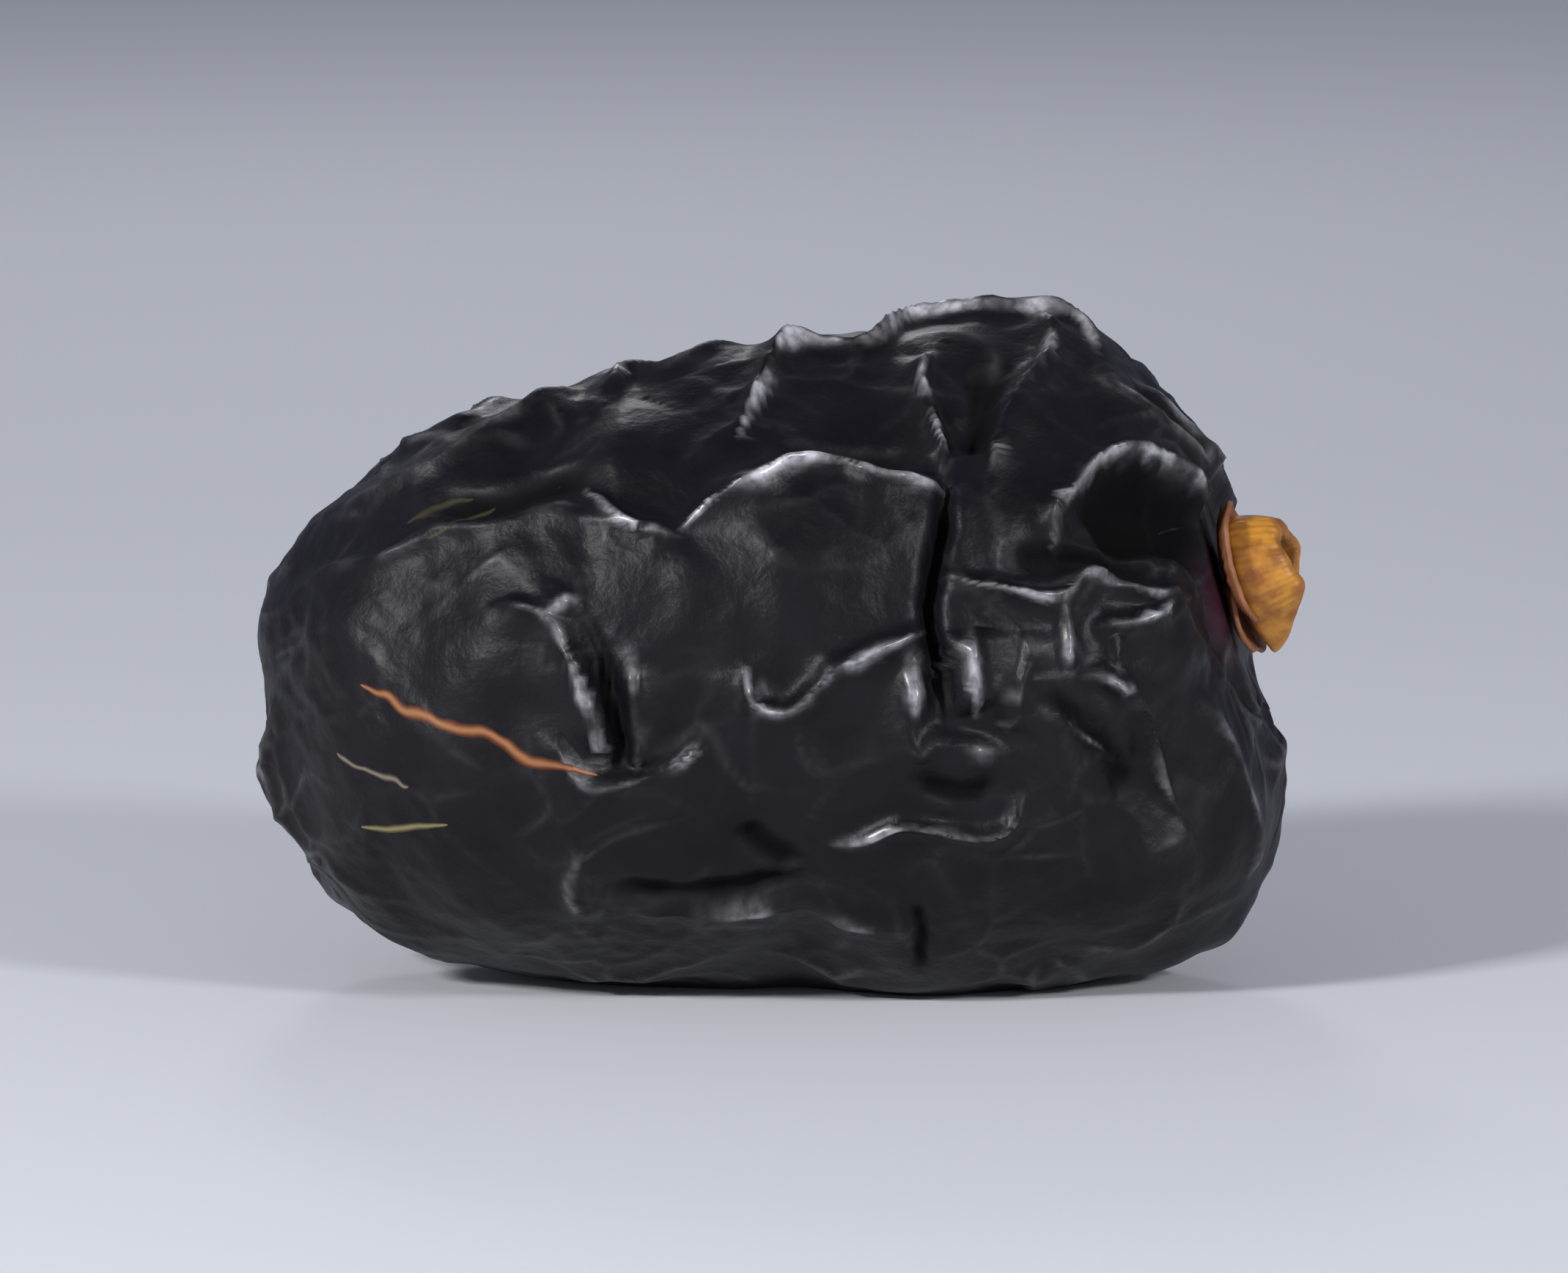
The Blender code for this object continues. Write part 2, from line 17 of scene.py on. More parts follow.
import bpy
import numpy as np
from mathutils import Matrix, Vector


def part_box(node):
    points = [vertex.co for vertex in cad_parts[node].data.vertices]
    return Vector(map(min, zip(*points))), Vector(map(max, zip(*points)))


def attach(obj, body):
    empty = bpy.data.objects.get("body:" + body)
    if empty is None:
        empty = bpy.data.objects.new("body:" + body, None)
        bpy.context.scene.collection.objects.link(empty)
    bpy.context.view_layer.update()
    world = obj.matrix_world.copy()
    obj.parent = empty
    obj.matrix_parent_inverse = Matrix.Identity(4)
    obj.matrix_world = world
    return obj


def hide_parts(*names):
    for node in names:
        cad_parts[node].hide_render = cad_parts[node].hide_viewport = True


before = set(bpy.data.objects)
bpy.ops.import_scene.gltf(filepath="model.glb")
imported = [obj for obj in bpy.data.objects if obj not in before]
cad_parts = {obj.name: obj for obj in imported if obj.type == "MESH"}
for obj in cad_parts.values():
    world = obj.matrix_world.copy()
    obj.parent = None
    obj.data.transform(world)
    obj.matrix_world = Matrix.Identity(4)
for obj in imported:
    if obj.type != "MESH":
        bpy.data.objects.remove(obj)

MM = 0.001
log = logging.getLogger("ajwa_date")


def linear(hex_code: str) -> tuple[float, float, float, float]:
    """Turn an sRGB hex colour into the linear colour that shaders use.

    Args:
        hex_code: the colour as "#RRGGBB".

    Returns:
        Red, green, blue and an alpha of one.
    """
    parts = [int(hex_code[k:k + 2], 16) / 255 for k in (1, 3, 5)]
    red, green, blue = (p / 12.92 if p <= 0.04045 else ((p + 0.055) / 1.055) ** 2.4 for p in parts)
    return red, green, blue, 1.0


def pattern_scale(size: float) -> float:
    """The scale of a pattern whose marks are `size` millimetres across."""
    return 1 / (size * MM)


def feed(node: bpy.types.Node, values: dict[Any, Any]) -> None:
    """Put values into a node.

    Args:
        node: the node.
        values: what goes in, by property name, input name or input number; a socket is linked
            and anything else is set.
    """
    for key, value in values.items():
        if isinstance(key, str) and hasattr(node, key):
            setattr(node, key, value)
        elif isinstance(value, bpy.types.NodeSocket):
            node.id_data.links.new(value, node.inputs[key])
        else:
            node.inputs[key].default_value = value


def add_node(tree: bpy.types.NodeTree, kind: str, values: dict[Any, Any] | None = None,
             output: str = "") -> bpy.types.NodeSocket:
    """Add a shader node and feed it.

    Args:
        tree: the node tree that gets the node.
        kind: the node's type without "ShaderNode" in front.
        values: what goes into it, as for feed.
        output: the name of the output that is wanted, where it isn't the first one in use.

    Returns:
        That output of the new node.
    """
    node = tree.nodes.new("ShaderNode" + kind)
    feed(node, values or {})
    return node.outputs[output] if output else next(socket for socket in node.outputs if socket.enabled)


@dataclass(frozen=True)
class Waves:
    """Plane waves in drawn directions, which raise points or push them about."""

    height: float
    length: float
    seed: int
    count: int = 28
    spread: float = 0.25

    def rise(self, points: np.ndarray, step: int = 0) -> np.ndarray:
        """Add up the waves: the sum of sin(way . p + phase), scaled to the waves' height.

        Args:
            points: where the waves are read, N by 3.
            step: what is added to the seed of the directions and phases.

        Returns:
            One height for each point.
        """
        rng = np.random.default_rng(self.seed + step)
        way = rng.normal(size=(self.count, 3))
        rate = 2 * math.pi / self.length * (1 + self.spread * rng.uniform(-1, 1, self.count))
        way *= (rate / np.linalg.norm(way, axis=1))[:, None]
        phase = rng.uniform(0, 2 * math.pi, self.count)
        return self.height * (np.sin(points @ way.T + phase).sum(1) * math.sqrt(2 / self.count))

    def push(self, points: np.ndarray) -> np.ndarray:
        """A push along each of the three axes: three such fields side by side."""
        return np.stack([self.rise(points, step) for step in range(3)], 1)


def ramp(value: np.ndarray, low: float, high: float) -> np.ndarray:
    """Rise straight from 0 at `low` to 1 at `high`."""
    return np.clip((value - low) / (high - low), 0, 1)


def smooth_step(value: np.ndarray, low: float, high: float) -> np.ndarray:
    """Rise from 0 at `low` to 1 at `high` as t * t * (3 - 2 t)."""
    t = ramp(value, low, high)
    return t * t * (3 - 2 * t)


def bell(distance: np.ndarray, reach: float | np.ndarray, power: float = 2) -> np.ndarray:
    """Fall from 1 on the spot as exp(-(distance / reach)^power)."""
    return np.exp(-(distance / reach) ** power)


def grid_quads(corner: np.ndarray) -> np.ndarray:
    """The quads, M by 4, between a grid's corners, whose numbers come in rows and columns."""
    return np.stack([corner[:-1, :-1], corner[1:, :-1], corner[1:, 1:], corner[:-1, 1:]], -1).reshape(-1, 4)


def beside_line(points: np.ndarray, line: np.ndarray, reach: float) -> tuple[np.ndarray, ...]:
    """Measure the points near a line from the nearest place on it.

    Args:
        points: all the points, N by 3.
        line: the line's corners.
        reach: how far round the line's box points count as near.

    Returns:
        The near points' numbers, their distances, how much of the line is behind their places,
        the steps from there to them, and the line's runs there.
    """
    near = np.nonzero(((points > line.min(0) - reach) & (points < line.max(0) + reach)).all(1))[0]
    inside = points[near]
    distance, part = np.full(len(near), np.inf), np.zeros(len(near))
    steps, runs = np.zeros((2, len(near), 3))
    for k, (a, b) in enumerate(zip(line, line[1:])):
        run = b - a
        t = np.clip((inside - a) @ run / (run @ run), 0, 1)
        step = inside - a - t[:, None] * run
        away = np.linalg.norm(step, axis=1)
        closer = away < distance
        distance[closer], part[closer] = away[closer], (k + t[closer]) / (len(line) - 1)
        steps[closer], runs[closer] = step[closer], run
    return near, distance, part, steps, runs


def ball_grid(cuts: int) -> tuple[np.ndarray, np.ndarray]:
    """A ball of quads: the six faces of a cube blown up to a sphere.

    On each face the way to a point is the face's axis plus tan(u) and tan(v) times its two other
    axes, made unit length, with u and v from -45 to 45 degrees.  Points that neighbouring faces
    share are merged.

    Args:
        cuts: quads along an edge of the cube.

    Returns:
        The unit directions, N by 3, and the quads, M by 4, with their faces outwards.
    """
    angle = np.linspace(-math.pi / 4, math.pi / 4, cuts + 1)
    u, v = np.meshgrid(np.tan(angle), np.tan(angle), indexing="ij")
    corner = np.arange((cuts + 1) ** 2).reshape(cuts + 1, cuts + 1)
    quad = grid_quads(corner)
    axes = np.eye(3)
    ways, quads = [], []
    for k in range(3):
        for sign in (1, -1):
            first, second = axes[(k + 1) % 3], axes[(k + 2) % 3] * sign
            ways.append((axes[k] * sign + u[..., None] * first + v[..., None] * second).reshape(-1, 3))
            quads.append(quad + len(quads) * corner.size)
    way = np.concatenate(ways)
    way /= np.linalg.norm(way, axis=1)[:, None]
    _, first_of, number = np.unique(np.round(way * 1e6).astype(np.int64), axis=0, return_index=True,
                                    return_inverse=True)
    return way[first_of], number.reshape(-1)[np.concatenate(quads)]


def mesh_piece(name: str, points: np.ndarray, faces: np.ndarray, finish: "Finish") -> bpy.types.Object:
    """Make a smooth-shaded object from points in millimetres and put its finish on it.

    Args:
        name: the piece's name.
        points: its points, N by 3.
        faces: the numbers of each face's corners.
        finish: what its surface is made of.

    Returns:
        The object, at the origin and in the scene.
    """
    mesh = bpy.data.meshes.new(name)
    mesh.from_pydata((points * MM).tolist(), [], faces.tolist())
    mesh.validate()
    mesh.shade_smooth()
    mesh.materials.append(finish.material())
    piece = bpy.data.objects.new(name, mesh)
    bpy.context.scene.collection.objects.link(piece)
    return piece


def put_attribute(piece: bpy.types.Object, name: str, values: np.ndarray) -> None:
    """Give each point of a piece a number that its material reads."""
    attribute = piece.data.attributes.new(name, "FLOAT", "POINT")
    attribute.data.foreach_set("value", values.astype(np.float32))


class FoldKind(Enum):
    """What a fold listed in FOLDS does to the skin."""

    CREST = "a ridge that stands up and catches the light"
    CREASE = "a groove between folds"
    PIT = "a flat-floored hollow with steep walls"
    CRACK = "a split in the skin with flesh showing"


@dataclass(frozen=True)
class Swell:
    """A soft swell of the body, or a hollow where its height is negative, at (along, up)."""

    centre: tuple[float, float]
    height: float
    spread: float


class Steep(Enum):
    """On which side of a crest the skin drops steeply, going along it."""

    NEITHER = 0
    LEFT = 1
    RIGHT = -1


@dataclass(frozen=True)
class CrestForm:
    """A wrinkle's cross section: a narrow and a wide fall from its crest, blunted on top.

    The distance d becomes sqrt(d^2 + b^2) - b with b the bluntness, and each fall is
    exp(-d / its reach).  On a steep side there is one fall in their place, a cliff.  Bluntness
    and reaches are in widths of the wrinkle.
    """

    blunt: float = 0.22
    narrow: float = 0.38
    narrow_share: float = 0.42
    wide: float = 1.9
    cliff: float = 0.50
    cliff_power: float = 1.1

    def rise(self, distance: np.ndarray, width: float, steep: Steep = Steep.NEITHER) -> np.ndarray:
        """Read the cross section.

        Args:
            distance: how far points are from the crest, negative on its right.
            width: the wrinkle's width.
            steep: the side on which the skin drops like a cliff.

        Returns:
            A height from 0 to 1 for each point.
        """
        blunt = self.blunt * width
        near = np.sqrt(distance ** 2 + blunt ** 2) - blunt
        even = self.narrow_share * np.exp(-near / (self.narrow * width))
        even += (1 - self.narrow_share) * np.exp(-near / (self.wide * width))
        if steep is Steep.NEITHER:
            return even
        return np.where(distance * steep.value > 0, bell(near, self.cliff * width, self.cliff_power), even)


@dataclass(frozen=True)
class PaintedSheen:
    """The sheen along the crests: a painted highlight in the skin's colour over a glossy coat, a thin
    stripe that widens, thins out and fades in patches.
    """

    width: float = 0.10
    swing: Waves = Waves(1.0, 1.7, 71)
    swing_limits: tuple[float, float] = (-0.9, 1.6)
    swing_share: float = 0.45
    # The width of the fold that has just that stripe, and the stripe's least share on a thin one
    fold_width: float = 0.40
    fold_least: float = 0.4
    # The stripe's least width on the nets' ridges, and its strength on the coarse and the fine
    net_width: float = 0.12
    net: float = 0.26
    fine_net: float = 0.12
    patches: Waves = Waves(1.0, 1.6, 72)
    patch_limits: tuple[float, float] = (-1.2, 0.9)
    patch_least: float = 0.25
    # How strongly the painted highlight clears the painted shade where both lie
    over_hollow: float = 1.8

    def widths(self, points: np.ndarray) -> np.ndarray:
        """The stripe's width at each point."""
        swing = np.clip(self.swing.rise(points), *self.swing_limits)
        return self.width * (1 + self.swing_share * swing)

    def on_fold(self, fold: "Fold") -> float:
        """How wide a fold's stripe is, as a share of the usual one."""
        return self.fold_least + (1 - self.fold_least) * fold.width / self.fold_width

    def patchy(self, points: np.ndarray) -> np.ndarray:
        """How much of the sheen is left at each point, from its least share to 1."""
        return self.patch_least + (1 - self.patch_least) * smooth_step(self.patches.rise(points),
                                                                       *self.patch_limits)


@dataclass(frozen=True)
class Fold:
    """A fold through points (along, up) of the near face, with its height or depth and its width.

    The sheen, a painted highlight, lies `sheen_shift` to the left of a crest, or to its right where
    that is negative.
    """

    kind: FoldKind
    points: tuple[tuple[float, float], ...]
    size: float
    width: float
    # The strength of the painted highlight on a crest
    sheen: float = 0.6
    steep: Steep = Steep.NEITHER
    sheen_shift: float = 0.0


@dataclass(frozen=True)
class Sight:
    """The way that the near face's (along, up) places are read: from a little above the table."""

    rise: float = math.radians(9.0)

    def onward(self) -> np.ndarray:
        """The unit way from the eye to the date."""
        return np.array([0.0, math.cos(self.rise), -math.sin(self.rise)])

    def upward(self) -> np.ndarray:
        """The unit way that is up in the picture."""
        return np.array([0.0, math.sin(self.rise), math.cos(self.rise)])


@dataclass(frozen=True)
class OvalBody:
    """The plain body under the wrinkles: a blunt oval of revolution, leaning a little."""

    half: tuple[float, float, float] = (15.6, 9.9, 10.2)
    bluntness: float = 2.45
    axis_height: float = 10.0
    lean: float = math.radians(3.0)
    sight: Sight = Sight()
    # How far out places may lie along the body and up each section, as shares
    most_along: float = 0.99
    most_up: float = 0.999

    def points(self, way: np.ndarray) -> np.ndarray:
        """Find the surface, where |x|^b + |across|^b = 1 in half lengths.

        Args:
            way: unit directions, N by 3.

        Returns:
            The body's points in those directions.
        """
        across = np.hypot(way[:, 1], way[:, 2])
        power = self.bluntness
        size = (np.abs(way[:, 0]) ** power + across ** power) ** (-1 / power)
        return way * self.half * size[:, None]

    def normals(self, points: np.ndarray) -> np.ndarray:
        """Find the outward normals: the steepest way of that power sum.

        Args:
            points: points of the body, N by 3.

        Returns:
            Unit normals.
        """
        x, y, z = (points / self.half).T
        across = (np.hypot(y, z) + 1e-9) ** (self.bluntness - 2)
        along = np.sign(x) * np.abs(x) ** (self.bluntness - 1)
        steep = np.stack([along, across * y, across * z], 1) / self.half
        return steep / np.linalg.norm(steep, axis=1)[:, None]

    def lay_down(self, points: np.ndarray) -> np.ndarray:
        """Lean the points about Y as the fruit lies, and lift their axis above the table.

        Args:
            points: points of the body's own axes, N by 3.

        Returns:
            Where they lie.
        """
        c, s = math.cos(self.lean), math.sin(self.lean)
        x, y, z = points.T
        return np.stack([c * x - s * z, y, s * x + c * z + self.axis_height], 1)

    def seen_at(self, points: np.ndarray) -> np.ndarray:
        """Where points are seen, as (along, up)."""
        laid = self.lay_down(points)
        return np.stack([laid[:, 0], laid @ self.sight.upward()], 1)

    def near_side(self, seen: np.ndarray) -> np.ndarray:
        """Find the body's points that lie in front at (along, up).

        Each section across X is an ellipse, and the line of sight through (along, up) cuts it
        where a quadratic in the depth is zero: the nearer root is taken.

        Args:
            seen: places (along, up), N by 2.

        Returns:
            Points of the plain body, N by 3.
        """
        deep_half, high_half = self.half[1], self.half[2]
        x = np.clip(seen[:, 0] / self.half[0], -self.most_along, self.most_along) * self.half[0]
        size = (1 - np.abs(x / self.half[0]) ** self.bluntness) ** (1 / self.bluntness)
        deep, high = deep_half * size, high_half * size
        c, s = math.cos(self.sight.rise), math.sin(self.sight.rise)
        limit = self.most_up * np.hypot(deep * s, high * c)
        up = np.clip(seen[:, 1] - self.axis_height * c, -limit, limit)
        square = (c / deep) ** 2 + (s / high) ** 2
        cross = up * s * c * (1 / deep ** 2 - 1 / high ** 2)
        rest = up ** 2 * ((s / deep) ** 2 + (c / high) ** 2) - 1
        depth = (-cross - np.sqrt(np.maximum(0, cross ** 2 - square * rest))) / square
        return np.stack([x, up * s + depth * c, up * c - depth * s], 1)

    def centres(self, count: int, seed: int, jitter: float = 0.6) -> np.ndarray:
        """Spread points over the body by the golden angle, and push each a drawn way.

        Args:
            count: how many points.
            seed: the seed of the pushes.
            jitter: how far they are pushed, as a share of their mean spacing.

        Returns:
            The points, N by 3.
        """
        i = np.arange(count) + 0.5
        x = 1 - 2 * i / count
        turn = i * math.pi * (3 - math.sqrt(5))
        across = np.sqrt(1 - x ** 2)
        way = np.stack([x, across * np.cos(turn), across * np.sin(turn)], 1)
        way += np.random.default_rng(seed).normal(size=way.shape) * jitter / math.sqrt(count)
        return self.points(way / np.linalg.norm(way, axis=1)[:, None])


@dataclass(frozen=True)
class RidgeNet:
    """A net of ridges along the borders of cells spread over the body."""

    cells: int
    height: float
    width: float
    seed: int
    patches: Waves
    share: float
    most: float

    def borders(self, body: OvalBody, points: np.ndarray) -> tuple[np.ndarray, np.ndarray]:
        """Measure how far each point is from the border of its cell.

        The distance is (d2^2 - d1^2) / (2 c), with d1 and d2 the distances to the nearest two
        centres and c the distance between those.

        Args:
            body: the body that carries the cells.
            points: the points, N by 3.

        Returns:
            The distance to the border, and the cell's number, for each point.
        """
        centres = body.centres(self.cells, self.seed)
        edge, cell = np.empty(len(points)), np.empty(len(points), int)
        batch = 8192
        for start in range(0, len(points), batch):
            part = slice(start, start + batch)
            square = (points[part] ** 2).sum(1)[:, None] + (centres ** 2).sum(1)
            square -= 2 * points[part] @ centres.T
            first, second = np.argpartition(square, 1, axis=1)[:, :2].T
            rows = np.arange(len(square))
            apart = np.linalg.norm(centres[first] - centres[second], axis=1)
            edge[part] = (square[rows, second] - square[rows, first]) / (2 * apart)
            cell[part] = first
        return edge, cell

    def strength(self, points: np.ndarray) -> np.ndarray:
        """How strong the net is at each point: patches of strong and weak ridges."""
        return np.clip(self.share + self.patches.rise(points), 0, self.most)


CREST, CREASE, PIT, CRACK = FoldKind.CREST, FoldKind.CREASE, FoldKind.PIT, FoldKind.CRACK
LEFT, RIGHT = Steep.LEFT, Steep.RIGHT

# The power of each groove's wall, and how far its painted shade reaches, in widths
GROOVES = {CREASE: (2, 0.95), PIT: (4, 1.3), CRACK: (2, 0.0)}

SWELLS = (
    Swell((7.6, 21.2), 1.2, 3.4),
    Swell((9.9, 19.8), 0.4, 2.0),
    Swell((2.2, 18.0), -0.8, 2.0),
    Swell((0.8, 20.4), -0.5, 2.4),
    Swell((-15.4, 14.6), 0.9, 2.6),
    Swell((10.8, 14.2), -0.8, 1.8),
    Swell((0.1, 13.0), 0.5, 3.0),
    Swell((-0.8, 6.6), -0.5, 3.2),
    Swell((-10.8, 8.2), 0.5, 4.5),
    Swell((13.4, 1.2), 1.0, 3.4),
    Swell((-14.1, 1.2), 0.5, 3.4),
    Swell((14.8, 12.4), -1.0, 2.6),
)

FOLDS = (
    # The brow along the top, from the left down stroke to the right shoulder
    Fold(CREST, ((-1.2, 17.0), (-0.8, 18.2), (0.5, 19.8), (2.6, 19.9), (4.1, 20.6), (7.2, 20.8),
                 (8.6, 20.6), (9.9, 19.4)), 0.78, 0.42, 1.15, RIGHT, -0.15),
    Fold(CREST, ((4.7, 19.5), (4.2, 18.2), (4.8, 16.8), (5.1, 16.2)), 0.78, 0.40, 1.0, LEFT),
    Fold(CREST, ((7.4, 20.6), (8.2, 19.8), (7.3, 18.6), (6.8, 17.4), (6.2, 15.2)), 0.66, 0.44, 0.7, RIGHT),
    Fold(CREST, ((10.9, 18.7), (12.6, 17.0), (13.6, 15.3)), 0.55, 0.50, 0.5),
    Fold(CREST, ((9.2, 18.7), (11.5, 17.6), (13.1, 16.0)), 0.40, 0.44, 0.4),
    # The long fold across the upper face, and its run to the left end
    Fold(CREST, ((-2.9, 14.2), (-1.4, 15.2), (0.5, 16.2), (1.9, 16.0), (3.2, 15.6), (4.8, 15.6)),
         0.95, 0.56, 1.4, LEFT, -0.10),
    Fold(CREST, ((-5.6, 15.3), (-4.5, 14.4), (-3.1, 14.0)), 0.66, 0.50, 1.0, LEFT, -0.08),
    Fold(CREST, ((-15.6, 12.0), (-12.4, 13.2), (-9.1, 14.2), (-5.6, 14.5), (-2.9, 13.9)),
         0.55, 0.72, 0.1, LEFT),
    Fold(CREST, ((-14.1, 14.3), (-10.8, 15.7), (-8.2, 17.2), (-5.9, 18.5)), 0.66, 0.72, 0.15),
    Fold(CREST, ((-5.8, 17.7), (-4.7, 18.8), (-3.1, 19.0), (-1.1, 19.8)), 0.77, 0.64, 0.3),
    Fold(CREST, ((-5.1, 18.8), (-4.8, 15.3)), 0.55, 0.50, 0.6),
    # The folds that bound the smooth left face
    Fold(CREST, ((-8.2, 11.8), (-7.0, 11.5), (-6.3, 10.5), (-5.7, 9.2), (-5.2, 6.9)),
         0.70, 0.32, 1.0, LEFT),
    Fold(CREST, ((-7.0, 11.5), (-6.2, 12.2)), 0.55, 0.40, 0.9),
    Fold(CREST, ((-4.2, 10.5), (-4.2, 6.8)), 0.66, 0.40, 0.6, RIGHT),
    Fold(CREST, ((-6.9, 8.4), (-5.9, 7.0), (-4.9, 6.5), (-3.2, 6.9), (-1.8, 8.4)),
         0.60, 0.40, 0.5, LEFT),
    # The hook and the folds in the middle of the face
    Fold(CREST, ((-1.0, 10.2), (-0.7, 9.1), (0.2, 8.8), (1.3, 9.6), (3.0, 10.5), (4.4, 11.1)),
         0.85, 0.44, 1.0, LEFT, -0.06),
    Fold(CREST, ((3.9, 10.7), (4.1, 7.7), (4.8, 8.0), (6.7, 7.4)), 0.76, 0.40, 0.9, LEFT),
    Fold(CREST, ((5.7, 11.2), (5.8, 10.0), (6.0, 8.7)), 0.80, 0.55, 1.0),
    Fold(CREST, ((1.6, 4.7), (2.9, 5.0), (4.2, 5.2), (6.6, 5.3), (7.1, 6.2)), 0.60, 0.28, 0.8, LEFT),
    # The lid over the deep dimple by the calyx, and the folds under it
    Fold(CREST, ((8.5, 13.3), (8.2, 14.7), (8.8, 15.7), (9.6, 16.2), (11.1, 16.2), (12.6, 15.5),
                 (13.4, 14.2)), 0.85, 0.50, 0.8, RIGHT, -0.10),
    Fold(CREST, ((5.1, 12.9), (6.8, 12.4), (8.2, 12.1), (9.2, 12.8), (10.2, 12.6), (12.1, 12.3)),
         0.80, 0.42, 0.8, LEFT, -0.08),
    Fold(CREST, ((9.5, 11.2), (10.4, 11.5), (11.8, 12.0)), 0.72, 0.36, 1.0),
    Fold(CREST, ((10.2, 11.3), (10.3, 9.8)), 0.50, 0.36, 0.8),
    Fold(CREST, ((8.3, 12.2), (8.5, 10.2)), 0.55, 0.40, 0.6),
    Fold(CREST, ((7.2, 10.2), (8.9, 8.2), (10.2, 6.8)), 0.70, 0.40, 0.4, RIGHT),
    Fold(CREST, ((9.2, 10.2), (10.9, 8.5), (12.1, 5.3)), 0.78, 0.42, 0.6, RIGHT),
    Fold(CREST, ((7.4, 11.3), (7.2, 9.2), (6.9, 8.0)), 0.52, 0.40, 0.4, RIGHT),
    Fold(CREST, ((10.4, 4.5), (12.4, 5.3)), 0.50, 0.48, 0.6),
    Fold(CREST, ((12.8, 9.1), (13.9, 7.0), (14.2, 3.7)), 0.45, 0.60, 0.35),
    # The low fold along the foot of the face
    Fold(CREST, ((-5.1, 2.7), (-2.4, 2.7), (0.5, 2.7), (1.8, 2.2), (4.2, 2.2)), 0.40, 0.40, 0.35, LEFT),
    Fold(CREST, ((-5.8, 4.8), (-6.1, 3.2), (-5.1, 2.6)), 0.40, 0.40, 0.2),
    # The deep valleys between the folds, and the dimple
    Fold(CREASE, ((5.2, 16.5), (4.8, 14.1), (4.6, 11.2), (4.9, 8.0)), 1.05, 0.22),
    Fold(CREASE, ((-6.1, 11.8), (-5.1, 9.8), (-4.7, 6.7)), 0.75, 0.24),
    Fold(PIT, ((9.3, 14.2), (10.1, 14.7), (11.2, 14.8), (12.2, 14.4), (12.9, 13.8)), 1.15, 1.15),
    Fold(CREASE, ((-4.9, 3.3), (-1.6, 3.2), (0.8, 3.7)), 0.45, 0.38),
    Fold(CREASE, ((-1.2, 5.2), (0.5, 4.0)), 0.38, 0.48),
    Fold(CREASE, ((7.9, 9.6), (9.4, 7.9), (10.6, 6.0)), 0.50, 0.42),
    Fold(CREASE, ((-9.9, 14.8), (-5.6, 15.7)), 0.60, 0.64),
    Fold(CREASE, ((0.1, 16.8), (3.8, 16.3)), 0.51, 0.56),
    Fold(CREASE, ((6.3, 19.5), (6.1, 16.6)), 0.60, 0.56),
    Fold(CREASE, ((7.2, 13.5), (9.4, 13.2), (11.8, 13.0)), 0.51, 0.48),
    Fold(CREASE, ((4.2, 6.6), (6.3, 6.5)), 0.32, 0.42),
    Fold(CREASE, ((4.2, 2.8), (4.2, 1.0)), 0.28, 0.22),
    # The long split in the skin of the left face
    Fold(CRACK, ((-12.6, 8.9), (-5.6, 6.1)), 0.12, 0.20),
)


@dataclass(frozen=True)
class Relief:
    """What the formula gives at each point: its place, and how much painted highlight and painted shade is
    there.
    """

    points: np.ndarray
    sheen: np.ndarray
    painted_shade: np.ndarray


